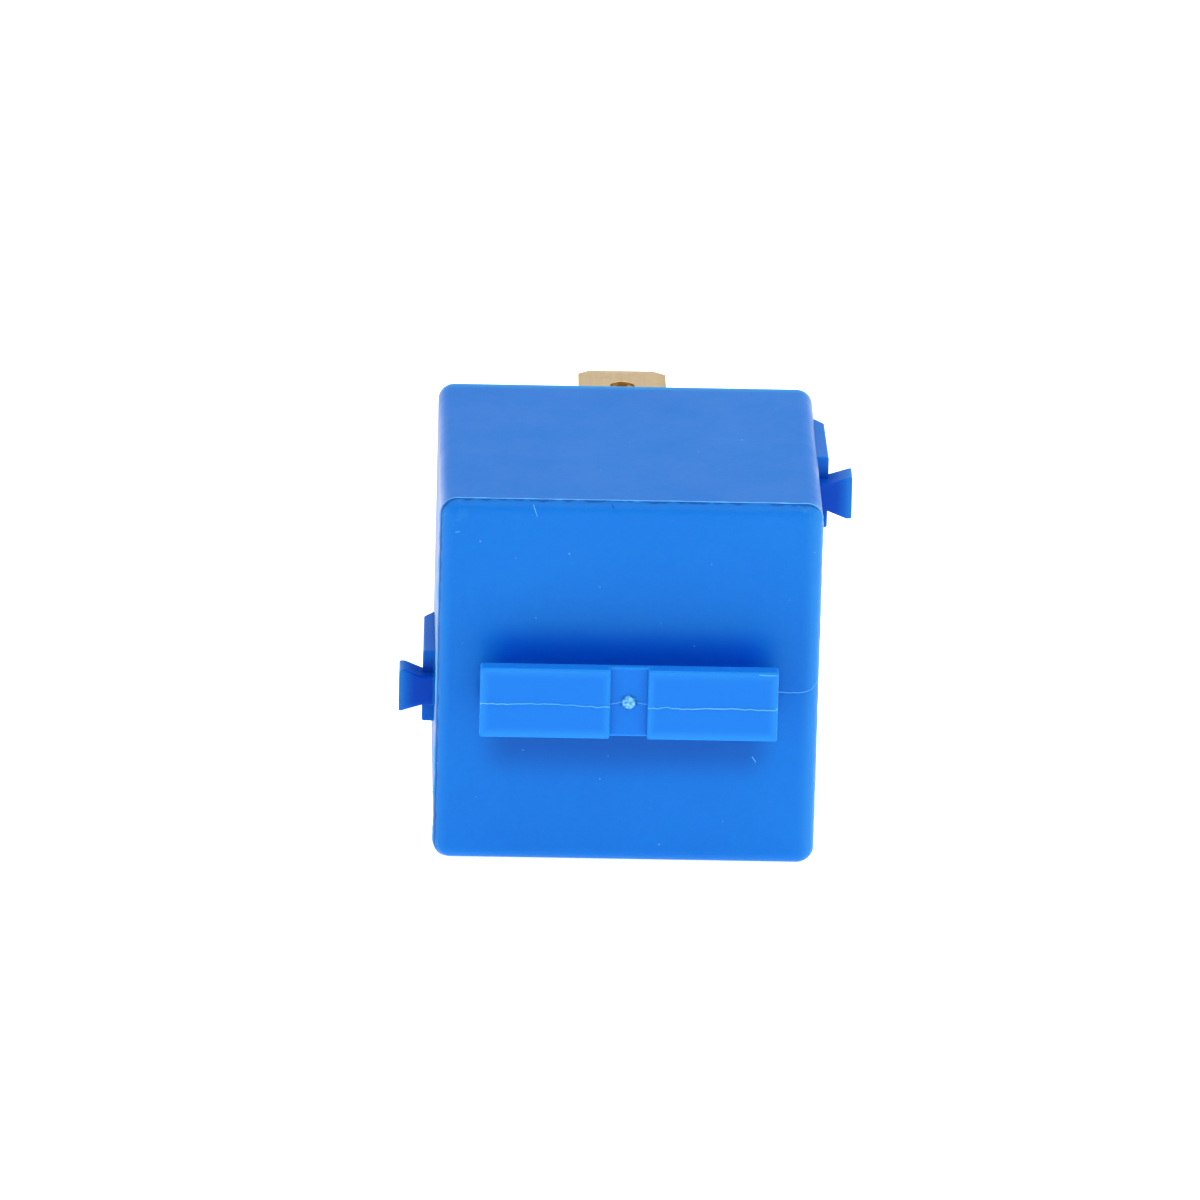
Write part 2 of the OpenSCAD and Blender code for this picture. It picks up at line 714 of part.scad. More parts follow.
module armature() {
    tail_low_z = yoke_out_z - tail_reach;
    color([0.68, 0.68, 0.66]) to_frame() opened() difference() {
        union() {
            along_y(leaf_y, armature_t) {
                translate([-armature_w / 2, yoke_out_z]) square([armature_w, armature_top_z - yoke_out_z - 1]);
                translate([1 - armature_w / 2, armature_top_z - 1 - fit]) square([armature_w - 2, 1 + fit]);
                for (s = [-1, 1]) translate([s * (armature_w / 2 - 1), armature_top_z - 1]) circle(1);
                translate([-tail_w / 2, tail_low_z]) square([tail_w, tail_reach + fit]);
            }
        }
        for (s = [-1, 1])
            rod_y(s * leaf_rivet_x, leaf_y - over, leaf_rivet_z, rivet_r + slot_gap, armature_t + 2 * over);
        rod_y(0, leaf_y - over, spring_z, hook_hole_r, armature_t + 2 * over);
    }
}

module contact_leaf() {
    neck_z = armature_top_z - 1;
    color([0.85, 0.6, 0.35]) to_frame() opened() difference() {
        along_y(leaf_top_y, leaf_t) {
            polygon([
                [-leaf_w / 2, leaf_low_z], [leaf_w / 2, leaf_low_z], [leaf_w / 2, neck_z],
                [leaf_tip_w / 2, neck_z + 1], [leaf_tip_w / 2, leaf_top_z - 0.6],
                [leaf_tip_w / 2 - 0.6, leaf_top_z], [0.6 - leaf_tip_w / 2, leaf_top_z],
                [-leaf_tip_w / 2, leaf_top_z - 0.6], [-leaf_tip_w / 2, neck_z + 1], [-leaf_w / 2, neck_z]
            ]);
        }
        for (s = [-1, 1])
            rod_y(s * leaf_rivet_x, leaf_top_y - over, leaf_rivet_z, rivet_r + slot_gap, leaf_t + 2 * over);
        rod_y(0, leaf_top_y - over, contact_z, shank_r + slot_gap, leaf_t + 2 * over);
    }
}

module leaf_rivets() {
    color([0.75, 0.75, 0.73]) to_frame() opened() for (s = [-1, 1]) {
        rod_y(s * leaf_rivet_x, leaf_top_y - rivet_head_t, leaf_rivet_z, rivet_head_r, rivet_head_t);
        rod_y(s * leaf_rivet_x, leaf_top_y, leaf_rivet_z, rivet_r, leaf_t + armature_t);
    }
}

// A contact head: a flat disc with a shallow dome, its face at depth 0
module head_profile(body_t) {
    translate([0, dome_h]) square([contact_r, body_t - dome_h]);
    dome_r = (pow(contact_r, 2) + pow(dome_h, 2)) / (2 * dome_h);
    intersection() {
        translate([0, dome_r]) circle(dome_r, $fn = 180);
        square([contact_r, dome_h]);
    }
}

module moving_contact() {
    color([0.85, 0.85, 0.84]) to_frame() opened() {
        turned_y(0, leaf_top_y - contact_t, contact_z) head_profile(contact_t);
        rod_y(0, leaf_top_y, contact_z, shank_r, leaf_t);
        turned_y(0, leaf_y, contact_z) translate([0, contact_t]) mirror([0, 1]) head_profile(contact_t);
    }
}

module contact_87() {
    color([0.85, 0.85, 0.84]) to_frame() {
        turned_y(0, make_face_y, contact_z) head_profile(contact_t);
        rod_y(0, shelf_y, contact_z, shank_r, blade_t);
    }
}

module contact_87a() {
    color([0.85, 0.85, 0.84]) to_frame() {
        turned_y(0, break_arm_y, contact_z) translate([0, contact_t]) mirror([0, 1]) head_profile(contact_t);
        rod_y(0, break_arm_y - blade_t, contact_z, shank_r, blade_t);
    }
}

function unit(v) = v / norm(v);

function headings(p) =
    [for (i = [0:len(p) - 1]) unit(p[min(i + 1, len(p) - 1)] - p[max(i - 1, 0)])];

// Side directions carried along the path without twist
function sides_along(t, u, i = 0) =
    i == len(t) ? [] : let (v = unit(u - (u * t[i]) * t[i])) concat([v], sides_along(t, v, i + 1));

// One closed tube swept along a list of points, with flat ends
module tube(points, r, sides, side) {
    n = len(points);
    t = headings(points);
    u = sides_along(t, side);
    rings = [
        for (i = [0:n - 1], k = [0:sides - 1])
            points[i] + r * (cos(360 * k / sides) * u[i] + sin(360 * k / sides) * cross(t[i], u[i]))
    ];
    skin = [
        for (i = [0:n - 2], k = [0:sides - 1])
            let (a = i * sides + k, b = i * sides + (k + 1) % sides)
            each [[a, a + sides, b], [b, a + sides, b + sides]]
    ];
    start = [for (k = [1:sides - 2]) [0, k, k + 1]];
    finish = [for (k = [1:sides - 2]) [(n - 1) * sides, (n - 1) * sides + k + 1, (n - 1) * sides + k]];
    polyhedron(points = rings, faces = concat(skin, start, finish), convexity = 10);
}

// Tension spring: a hook through the armature's tail, the turns, and a hook through the yoke's tab
module return_spring() {
    steps = 14;
    count = spring_turns * steps;
    top_y = leaf_y - spring_wire_d;
    turns = [
        for (i = [0:count])
            let (a = 90 + 360 * i / steps)
            [spring_r * cos(a), spring_y + spring_l * i / count, spring_z + spring_r * sin(a)]
    ];
    top_hook = [
        [0, top_y, spring_z - hook_hole_r * 3.4],
        [0, top_y - 0.16, spring_z - hook_hole_r * 1.6],
        [0, top_y, spring_z],
        [0, top_y + 0.5, spring_z],
        [0, spring_y - 0.55, spring_z],
        [0, spring_y - 0.3, spring_z + spring_r * 0.45]
    ];
    low_hook = [
        [0, spring_y + spring_l + 0.3, spring_z + spring_r * 0.45],
        [0, spring_y + spring_l + 0.55, spring_z],
        [0, hook_y + hook_plate_t, spring_z],
        [0, hook_y + hook_plate_t + 0.3, spring_z - hook_hole_r],
        [0, hook_y + hook_plate_t + 0.3, spring_z - hook_hole_r * 2.4]
    ];
    color([0.75, 0.75, 0.74]) to_frame()
        tube(concat(top_hook, turns, low_hook), spring_wire_d / 2, 8, [1, 0, 0]);
}

// Flexible copper braid from the common terminal's riser, round the bobbin's side, to the contact leaf
module contact_braid() {
    side_x = common_riser_x + blade_t / 2 + braid_r + fit;
    riser_z = common_foot_z + common_foot_w / 2;
    riser_top_y = base_in_y + blade_t - common_riser_l;
    end_z = leaf_rivet_z + rivet_head_r + braid_r * 1.5;
    end_y = leaf_top_y - (end_z - yoke_out_z) * sin(swing) - braid_r - fit;
    weld_l = braid_r * 3;
    leave = [side_x, riser_top_y, riser_z];
    lean = [side_x, end_y + braid_r * 2, riser_z];
    dip = [(armature_w + leaf_w) / 2, end_y - braid_r * 2, end_z];
    meet = [leaf_w / 2 + braid_r, end_y, end_z];
    bend = [
        for (i = [0:16])
            let (t = i / 16, u = 1 - t)
            pow(u, 3) * leave + 3 * u * u * t * lean + 3 * u * t * t * dip + pow(t, 3) * meet
    ];
    route = concat([leave + [0, weld_l, 0]], bend, [meet - [leaf_w / 2 + braid_r, 0, 0]]);
    color([0.75, 0.42, 0.22]) to_frame() tube(route, braid_r, 8, [0, 0, 1]);
}

module resistor_body() {
    end_l = 1.3;
    end_r = resistor_r + resistor_bulge;
    profile = [
        [0, 0], [end_r - 0.3, 0], [end_r, 0.3], [end_r, end_l - 0.3], [resistor_r, end_l],
        [resistor_r, resistor_l - end_l], [end_r, resistor_l - end_l + 0.3],
        [end_r, resistor_l - 0.3], [end_r - 0.3, resistor_l], [0, resistor_l]
    ];
    color([0.78, 0.7, 0.55]) to_frame()
        translate([-resistor_l / 2, resistor_y, resistor_z]) rotate([0, 90, 0]) rotate_extrude() polygon(profile);
}

module resistor_leads() {
    color([0.8, 0.8, 0.8]) to_frame() for (s = [-1, 1]) wire([
        [s * resistor_l / 2, resistor_y, resistor_z],
        [s * coil_blade_off, resistor_y, resistor_z],
        [s * coil_blade_off, resistor_y, coil_blade_z + coil_post_w / 2]
    ], lead_r);
}

cover();
base();
terminal_30();
terminal_85();
terminal_86();
terminal_87();
terminal_87a();
yoke();
core();
bobbin();
coil_winding();
coil_lead_85();
coil_lead_86();
armature();
contact_leaf();
leaf_rivets();
moving_contact();
contact_87();
contact_87a();
return_spring();
contact_braid();
resistor_body();
resistor_leads();
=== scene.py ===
"""Looks of the cube relay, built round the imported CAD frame."""
import math
import random

import bmesh
import bpy
from mathutils import Matrix, Vector, noise


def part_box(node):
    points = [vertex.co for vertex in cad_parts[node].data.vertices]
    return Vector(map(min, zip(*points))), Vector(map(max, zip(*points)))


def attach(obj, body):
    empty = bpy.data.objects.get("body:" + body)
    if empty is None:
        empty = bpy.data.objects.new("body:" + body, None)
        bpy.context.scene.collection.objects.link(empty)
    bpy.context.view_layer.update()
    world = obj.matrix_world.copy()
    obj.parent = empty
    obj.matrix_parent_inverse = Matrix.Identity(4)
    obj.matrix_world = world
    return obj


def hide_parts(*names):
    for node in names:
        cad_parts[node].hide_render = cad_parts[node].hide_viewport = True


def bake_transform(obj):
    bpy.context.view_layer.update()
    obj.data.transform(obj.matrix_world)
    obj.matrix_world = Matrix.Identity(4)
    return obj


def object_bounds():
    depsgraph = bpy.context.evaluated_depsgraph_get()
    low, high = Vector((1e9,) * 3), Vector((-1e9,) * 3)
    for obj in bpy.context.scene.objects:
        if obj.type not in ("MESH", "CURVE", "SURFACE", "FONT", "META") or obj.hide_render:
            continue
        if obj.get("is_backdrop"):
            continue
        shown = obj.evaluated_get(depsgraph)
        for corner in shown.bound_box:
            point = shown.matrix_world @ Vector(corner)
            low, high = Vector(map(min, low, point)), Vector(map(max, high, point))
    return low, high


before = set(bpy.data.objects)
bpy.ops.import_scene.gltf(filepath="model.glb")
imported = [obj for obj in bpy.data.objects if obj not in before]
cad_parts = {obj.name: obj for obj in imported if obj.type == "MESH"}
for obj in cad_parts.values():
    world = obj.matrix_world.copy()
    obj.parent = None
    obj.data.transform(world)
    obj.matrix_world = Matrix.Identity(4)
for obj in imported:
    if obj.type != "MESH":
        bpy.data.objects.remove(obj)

cad_low, cad_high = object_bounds()

# Plain lengths are millimetres.
MM = 0.001
ORIGIN_Y = 16.575         # from the closed end's outer face to the frame's origin
BASE, ARMATURE, COVER = "base_assembly", "armature_assembly", "cover_shell"

# the cover's sizes, as on the drawing
TOP = 26.6                # height of the upper wall
HALF = 13.3               # half of the width
CORNER = 1.15             # radius of the outline's corners
FILLET = 0.9              # radius round the closed end
HEAD = -4.1               # outer face of the grip's head
RECESS = -3.5             # bottom of the recess across it
COVER_END = max(v.co.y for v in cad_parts["cover"].data.vertices) / MM


def at(x, y, z):
    """A point given in millimetres as on the drawing, where y is counted from the cover's closed face."""
    return Vector((x, y - ORIGIN_Y, z)) * MM


def circle(count):
    """Cosine and sine at equal steps of one full turn."""
    return [(math.cos(math.tau * k / count), math.sin(math.tau * k / count)) for k in range(count)]


# ---------------------------------------------------------------- materials

NOISE_BAND = (0.3, 0.7)   # most of a noise texture's values lie in here

BLUE_LOW, BLUE_HIGH = (0.0035, 0.134, 0.512), (0.0045, 0.148, 0.537)
# painted light and shade on the cover: painted highlights for its borders, keys, open end and grip edges, a
# lighter painted tone for the grip's head, and painted shade over and under the grip, on the keys' waists and
# where the surface turns away from the view
BLUE_PAINTED_HIGHLIGHT, BLUE_PAINTED_KEY_SHADE = (0.018, 0.190, 0.540), (0.0003, 0.062, 0.430)
BLUE_PAINTED_SHADE_OVER_GRIP, BLUE_PAINTED_SHADE_UNDER_GRIP = (0.0003, 0.082, 0.55), (0.004, 0.093, 0.40)
BLUE_PAINTED_MOUTH_HIGHLIGHT = (0.012, 0.26, 0.62)
BLUE_PAINTED_GRAZING_SHADE = (0.0005, 0.065, 0.25)
GRIP_PAINTED_LIGHTER, GRIP_PAINTED_EDGE_HIGHLIGHT = (0.007, 0.156, 0.590), (0.016, 0.215, 0.610)
DUST = (0.30, 0.52, 0.80)


class Zone:
    """Where the painted highlights and painted shade on the cover begin and end: start and end of each step, in
    millimetres on the frame's axes.

    OUT is counted from the middle of the width to either side."""
    CLOSED_END_Y = (-15.2, -14.4)
    RIGHT_BORDER_X, LEFT_BORDER_X, LOWER_BORDER_Z = (11.9, 13.3), (-13.3, -12.2), (0.0, 1.1)
    CORNER_OUT, CORNER_Z = (11.0, 12.6), (24.4, 25.8)
    SIDE_WALL_OUT, KEY_FACE_OUT = (13.35, 13.45), (15.2, 15.8)
    MOUTH_Y, MOUTH_Z = (COVER_END - 1.1, COVER_END - 0.1), (25.4, 26.4)
    HEAD_Y, HEAD_FACE_Y = (-19.6, -18.9), (-20.64, -20.4)
    HEAD_END_OUT, HEAD_LOW_Z, HEAD_HIGH_Z = (9.6, 10.35), (10.8, 11.6), (15.1, 15.85)
    RECESS_OUT, BY_RECESS_OUT = (1.28, 1.33), (1.35, 1.95)
    WALL_FRONT_Y, WALL_BACK_Y, BEHIND_GRIP_OUT = (-17.7, -16.8), (-16.2, -15.4), (8.0, 11.0)
    GRIP_MIDDLE_Z, ABOVE_GRIP_Z, BELOW_GRIP_Z = (12.8, 13.8), (15.4, 18.2), (5.7, 8.7)
    KEY_ROOT_OUT, KEY_WAIST_OUT, KEY_BACK_Y = (13.32, 13.5), (14.6, 15.6), (-2.4, -1.2)
    LEFT_KEY_FROM_Z, LEFT_KEY_TO_Z = (6.15, 7.1), (8.9, 10.3)
    RIGHT_KEY_FROM_Z, RIGHT_KEY_TO_Z = (20.6, 21.9), (23.4, 25.4)


class Nodes:
    """A short way to build a node tree on a new material. Noise scales are in cells per metre."""

    def __init__(self, name):
        self.material = bpy.data.materials.new(name)
        self.material.use_nodes = True
        self.tree = self.material.node_tree
        self.shader = self.tree.nodes["Principled BSDF"]
        self.coords = self.add("ShaderNodeTexCoord").outputs["Object"]

    def add(self, kind, **settings):
        node = self.tree.nodes.new(kind)
        for key, value in settings.items():
            setattr(node, key, value)
        return node

    def link(self, a, b):
        self.tree.links.new(a, b)

    def scaled(self, scale):
        """Object coordinates with a factor per axis."""
        node = self.add("ShaderNodeMapping")
        node.inputs["Scale"].default_value = scale
        self.link(self.coords, node.inputs["Vector"])
        return node.outputs["Vector"]

    def noise(self, scale, detail, rough, vector=None):
        node = self.add("ShaderNodeTexNoise")
        node.inputs["Scale"].default_value = scale
        node.inputs["Detail"].default_value = detail
        node.inputs["Roughness"].default_value = rough
        self.link(vector or self.coords, node.inputs["Vector"])
        return node.outputs["Fac"]

    def ramp(self, fac, low, high, start=NOISE_BAND[0], end=NOISE_BAND[1]):
        """Goes from the colour low to the colour high while fac goes from start to end."""
        node = self.add("ShaderNodeValToRGB")
        for element, place, colour in zip(node.color_ramp.elements, (start, end), (low, high)):
            element.position = place
            element.color = (*colour, 1)
        self.link(fac, node.inputs["Fac"])
        return node.outputs["Color"]

    def span(self, fac, low, high, start, end, **settings):
        """Goes from low to high while fac goes from start to end."""
        node = self.add("ShaderNodeMapRange", **settings)
        for name, number in (("From Min", start), ("From Max", end), ("To Min", low), ("To Max", high)):
            node.inputs[name].default_value = number
        self.link(fac, node.inputs["Value"])
        return node.outputs["Result"]

    def rise(self, value, zone, low=0.0, high=1.0):
        """A smooth step from low to high over a zone in millimetres."""
        start, end = zone
        return self.span(value, low, high, start * MM, end * MM, interpolation_type="SMOOTHSTEP")

    def fall(self, value, zone, high=1.0):
        """A smooth step from high to nothing over a zone in millimetres."""
        return self.rise(value, zone, high, 0.0)

    def between(self, value, start, end):
        return self.product(self.rise(value, start), self.fall(value, end))

    def fold(self, operation, first, rest):
        for other in rest:
            node = self.add("ShaderNodeMath", operation=operation)
            self.link(first, node.inputs[0])
            self.link(other, node.inputs[1])
            first = node.outputs[0]
        return first

    def most(self, first, *rest):
        return self.fold("MAXIMUM", first, rest)

    def product(self, first, *rest):
        return self.fold("MULTIPLY", first, rest)

    def blend(self, fac, a, b):
        """Goes from a to b. Each is a colour or a socket."""
        node = self.add("ShaderNodeMix", data_type="RGBA")
        self.link(fac, node.inputs["Factor"])
        for value, socket in ((a, node.inputs[6]), (b, node.inputs[7])):
            if isinstance(value, tuple):
                socket.default_value = (*value, 1)
            else:
                self.link(value, socket)
        return node.outputs[2]

    def colour(self, source):
        self.link(source, self.shader.inputs["Base Color"])

    def rough(self, source, low, high):
        self.link(self.span(source, low, high, *NOISE_BAND), self.shader.inputs["Roughness"])

    def bump(self, height, strength, distance, under=None):
        node = self.add("ShaderNodeBump")
        node.inputs["Strength"].default_value = strength
        node.inputs["Distance"].default_value = distance * MM
        self.link(height, node.inputs["Height"])
        if under is not None:
            self.link(under, node.inputs["Normal"])
        self.link(node.outputs["Normal"], self.shader.inputs["Normal"])
        return node.outputs["Normal"]

    def set(self, **values):
        for key, value in values.items():
            self.shader.inputs[key.replace("_", " ")].default_value = value


def painted_light_and_shade(m, colour):
    """Painted light and shade on the cover: painted highlights at its borders, upper corners, keys' outer faces,
    open end's rim and grip's edges, a grip head painted lighter, and painted shade above and below the grip and
    on the keys' waists.
    """
    axes = m.add("ShaderNodeSeparateXYZ")
    m.link(m.coords, axes.inputs[0])
    x, y, z = axes.outputs
    size = m.add("ShaderNodeMath", operation="ABSOLUTE")
    m.link(x, size.inputs[0])
    out = size.outputs[0]

    # painted highlights on the borders of the closed end, its two upper corners and the keys' outer faces
    border = m.most(m.rise(x, Zone.RIGHT_BORDER_X), m.fall(x, Zone.LEFT_BORDER_X, 0.45),
                    m.fall(z, Zone.LOWER_BORDER_Z, 0.6))
    patchy = m.span(m.noise(1300, 4, 0.7), 0.0, 0.9, 0.5, 0.66)
    corners = m.product(m.rise(out, Zone.CORNER_OUT), m.rise(z, Zone.CORNER_Z), patchy)
    painted_highlight = m.product(m.most(border, corners), m.fall(y, Zone.CLOSED_END_Y), m.fall(out, Zone.SIDE_WALL_OUT))
    shell = m.blend(m.most(painted_highlight, m.rise(out, Zone.KEY_FACE_OUT)), colour, BLUE_PAINTED_HIGHLIGHT)
    # a painted highlight along the rim of the open end
    mouth = m.product(m.rise(y, Zone.MOUTH_Y), m.rise(z, Zone.MOUTH_Z, 0.15))
    shell = m.blend(mouth, shell, BLUE_PAINTED_MOUTH_HIGHLIGHT)

    # the grip's head painted lighter, and a painted highlight along its edges
    head = m.fall(y, Zone.HEAD_Y)
    shell = m.blend(head, shell, GRIP_PAINTED_LIGHTER)
    ends = m.rise(out, Zone.HEAD_END_OUT, high=0.9)
    by_recess = m.product(m.fall(out, Zone.BY_RECESS_OUT, 0.8), m.rise(out, Zone.RECESS_OUT))
    long_sides = m.product(m.most(m.fall(z, Zone.HEAD_LOW_Z), m.rise(z, Zone.HEAD_HIGH_Z, high=0.8)),
                           m.rise(out, Zone.RECESS_OUT, 0.3))
    rims = m.product(m.most(ends, by_recess, long_sides), m.fall(y, Zone.HEAD_FACE_Y))
    shell = m.blend(m.product(head, rims), shell, GRIP_PAINTED_EDGE_HIGHLIGHT)

    # painted shade on the wall above and below the grip
    wall = m.product(m.between(y, Zone.WALL_FRONT_Y, Zone.WALL_BACK_Y), m.fall(out, Zone.BEHIND_GRIP_OUT))
    above = m.product(wall, m.between(z, Zone.GRIP_MIDDLE_Z, Zone.ABOVE_GRIP_Z))
    shell = m.blend(above, shell, BLUE_PAINTED_SHADE_OVER_GRIP)
    below = m.product(wall, m.between(z, Zone.BELOW_GRIP_Z, Zone.GRIP_MIDDLE_Z))
    shell = m.blend(below, shell, BLUE_PAINTED_SHADE_UNDER_GRIP)

    # painted shade on the waists of the two keys, next to the wall
    level = m.most(m.between(z, Zone.LEFT_KEY_FROM_Z, Zone.LEFT_KEY_TO_Z),
                   m.between(z, Zone.RIGHT_KEY_FROM_Z, Zone.RIGHT_KEY_TO_Z))
    painted_key_shade = m.product(m.between(out, Zone.KEY_ROOT_OUT, Zone.KEY_WAIST_OUT), level, m.fall(y, Zone.KEY_BACK_Y))
    return m.blend(painted_key_shade, shell, BLUE_PAINTED_KEY_SHADE)


def blue_plastic(name, low, high, rough, glow=0.0, painted_light=False, patches=90):
    """Smooth moulded thermoplastic: faint flow marks, fine dust and a few rubs, and on request painted highlights
    and painted shade.
    """
    m = Nodes(name)
    flow = m.noise(patches, 3, 0.5, m.scaled((1.0, 0.35, 1.0)))
    base = m.ramp(flow, low, high)
    grain = m.noise(2600, 2, 0.5)
    speck = m.add("ShaderNodeTexVoronoi")
    speck.inputs["Scale"].default_value = 640
    m.link(m.coords, speck.inputs["Vector"])
    spots = m.span(speck.outputs["Distance"], 1.0, 0.0, 0.015, 0.05)
    sparse = m.span(m.noise(210, 2, 0.5), 0.0, 0.6, 0.55, 0.62)
    cloudy = m.span(m.noise(2300, 4, 0.75), 0.0, 0.16, 0.42, 0.72)
    shell = m.blend(cloudy, base, tuple(min(1.0, v * 1.2 + 0.006) for v in high))
    if painted_light:
        shell = painted_light_and_shade(m, shell)
        # painted shade where the surface turns away from the view
        turned = m.add("ShaderNodeLayerWeight").outputs["Facing"]
        shell = m.blend(m.span(turned, 0.0, 0.6, 0.76, 0.97), shell, BLUE_PAINTED_GRAZING_SHADE)
    m.colour(m.blend(m.product(spots, sparse), shell, DUST))
    m.rough(m.noise(240, 5, 0.65, m.scaled((1.0, 1.0, 0.5))), rough - 0.05, rough + 0.07)
    soft = m.bump(m.noise(140, 2, 0.4), 0.02, 0.02)
    m.bump(grain, 0.22, 0.005, soft)
    m.set(Specular_IOR_Level=0.085, Subsurface_Weight=glow, Subsurface_Scale=0.0008,
          Subsurface_Radius=(0.1, 0.6, 1.0), IOR=1.5)
    return m.material


def black_plastic(name):
    m = Nodes(name)
    fibre = m.noise(3200, 3, 0.6, m.scaled((1.0, 0.25, 1.0)))
    m.colour(m.ramp(fibre, (0.006, 0.006, 0.007), (0.022, 0.022, 0.024), 0.35, 0.75))
    m.rough(m.noise(500, 4, 0.6), 0.34, 0.52)
    m.bump(m.noise(2400, 3, 0.6), 0.25, 0.006)
    m.set(Specular_IOR_Level=0.45)
    return m.material


def pale_plastic(name):
    m = Nodes(name)
    m.colour(m.ramp(m.noise(160, 4, 0.6), (0.62, 0.56, 0.44), (0.72, 0.67, 0.55)))
    m.rough(m.noise(700, 3, 0.6), 0.36, 0.5)
    m.bump(m.noise(1800, 2, 0.5), 0.2, 0.004)
    m.set(Subsurface_Weight=0.2, Subsurface_Scale=0.0006, Subsurface_Radius=(1.0, 0.8, 0.5))
    return m.material


def metal(name, low, high, rough, drawn=(1.0, 1.0, 1.0), grit=0.2, spots=None):
    """Rolled, drawn or turned metal: drawn is a factor per axis, small along the grain's direction."""
    m = Nodes(name)
    grain = m.noise(900, 5, 0.65, m.scaled(drawn))
    tint = m.ramp(grain, low, high)
    if spots is not None:
        tint = m.blend(m.span(m.noise(260, 5, 0.7), 0.0, 1.0, 0.56, 0.72), tint, spots)
    m.colour(tint)
    m.rough(m.noise(420, 4, 0.6), rough - 0.07, rough + 0.09)
    m.bump(grain, grit, 0.006)
    m.set(Metallic=1.0)
    return m.material


def enamel(name):
    m = Nodes(name)
    m.colour(m.ramp(m.noise(500, 3, 0.6), (0.36, 0.085, 0.022), (0.56, 0.17, 0.05)))
    m.rough(m.noise(900, 3, 0.5), 0.22, 0.36)
    m.bump(m.noise(2200, 2, 0.5), 0.12, 0.004)
    m.set(Metallic=0.85, Coat_Weight=0.5, Coat_Roughness=0.12)
    return m.material


def lacquer(name):
    m = Nodes(name)
    m.colour(m.ramp(m.noise(700, 4, 0.6), (0.36, 0.26, 0.13), (0.47, 0.36, 0.2)))
    m.rough(m.noise(1200, 3, 0.5), 0.3, 0.44)
    m.bump(m.noise(900, 3, 0.5), 0.3, 0.02)
    m.set(Coat_Weight=0.3, Coat_Roughness=0.2)
    return m.material


# the cover's plastic, which carries painted highlights and painted shade
blue = blue_plastic("blue_moulded_plastic", BLUE_LOW, BLUE_HIGH, 0.34, 0.35, True)
blue_thin = blue_plastic("blue_thin_flash", (0.05, 0.34, 0.80), (0.16, 0.47, 0.88), 0.42)
blue_torn = blue_plastic("blue_torn_gate", (0.008, 0.11, 0.48), (0.21, 0.60, 0.88), 0.6, patches=7000)
# painted highlight for the cover's rounded edges
painted_edge_blue = blue_plastic("blue_painted_edge_highlight", (0.008, 0.185, 0.58), (0.012, 0.205, 0.62), 0.34, 0.35)
# painted shadow at the foot of the closed end's flash line
painted_seam_shadow_blue = blue_plastic("blue_painted_seam_shadow", (0.0003, 0.066, 0.34), (0.0006, 0.094, 0.42), 0.45)
blue_nick = blue_plastic("blue_dark_nick", (0.002, 0.014, 0.070), (0.003, 0.025, 0.120), 0.6)
black = black_plastic("black_glass_filled_plastic")
ivory = pale_plastic("natural_bobbin_plastic")
tinned = metal("tinned_brass_strip", (0.645, 0.475, 0.255), (0.765, 0.59, 0.345), 0.36, (1.0, 0.08, 1.0),
               0.3, (0.56, 0.38, 0.16))
cut_brass = metal("cut_brass_edge", (0.50, 0.30, 0.085), (0.64, 0.42, 0.15), 0.4, (1.0, 1.0, 0.1), 0.35)
zinc = metal("zinc_plated_iron", (0.46, 0.455, 0.43), (0.62, 0.615, 0.59), 0.38, (0.12, 1.0, 1.0),
             0.3, (0.52, 0.5, 0.42))
bright = metal("turned_bright_iron", (0.5, 0.5, 0.49), (0.64, 0.64, 0.62), 0.3)
bronze = metal("spring_bronze_strip", (0.56, 0.29, 0.11), (0.72, 0.42, 0.19), 0.3, (1.0, 1.0, 0.1), 0.25)
silver = metal("silver_contact_alloy", (0.74, 0.72, 0.67), (0.86, 0.85, 0.81), 0.32)
wire_steel = metal("drawn_spring_steel", (0.4, 0.4, 0.4), (0.56, 0.56, 0.55), 0.28, (1.0, 0.3, 1.0))
tin_wire = metal("tinned_round_wire", (0.56, 0.56, 0.55), (0.7, 0.7, 0.68), 0.3, (0.3, 1.0, 1.0))
copper = metal("bare_copper_strands", (0.55, 0.22, 0.09), (0.72, 0.34, 0.15), 0.34, grit=0.3)
enamelled = enamel("enamelled_copper_wire")
tan = lacquer("resistor_lacquer")


# ---------------------------------------------------------------- ways to make pieces

ROUNDED = "rounded_edge"  # the face layer that marks the rounding of an edge
WELD_M = 1e-6             # points nearer than this are one
FLAT_DEGREES = 0.5        # faces that meet at less than this are one flat
SAME_FLAT, SAME_ROUND = 0.85, 0.6     # cosines between normals that still belong together


def keep(bm, name, material, body, replaces=(), blend=None):
    """Turns a bmesh into a piece that rides on its body, or, when blend is given, stays in place without a body.
    """
    mesh = bpy.data.meshes.new(name)
    for face in bm.faces:
        face.smooth = True
    bm.to_mesh(mesh)
    bm.free()
    piece = bpy.data.objects.new(name, mesh)
    bpy.context.scene.collection.objects.link(piece)
    for one in material if isinstance(material, list) else [material]:
        mesh.materials.append(one)
    if blend:
        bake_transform(piece)
    else:
        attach(piece, body)
    if replaces:
        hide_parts(*replaces)
    return piece


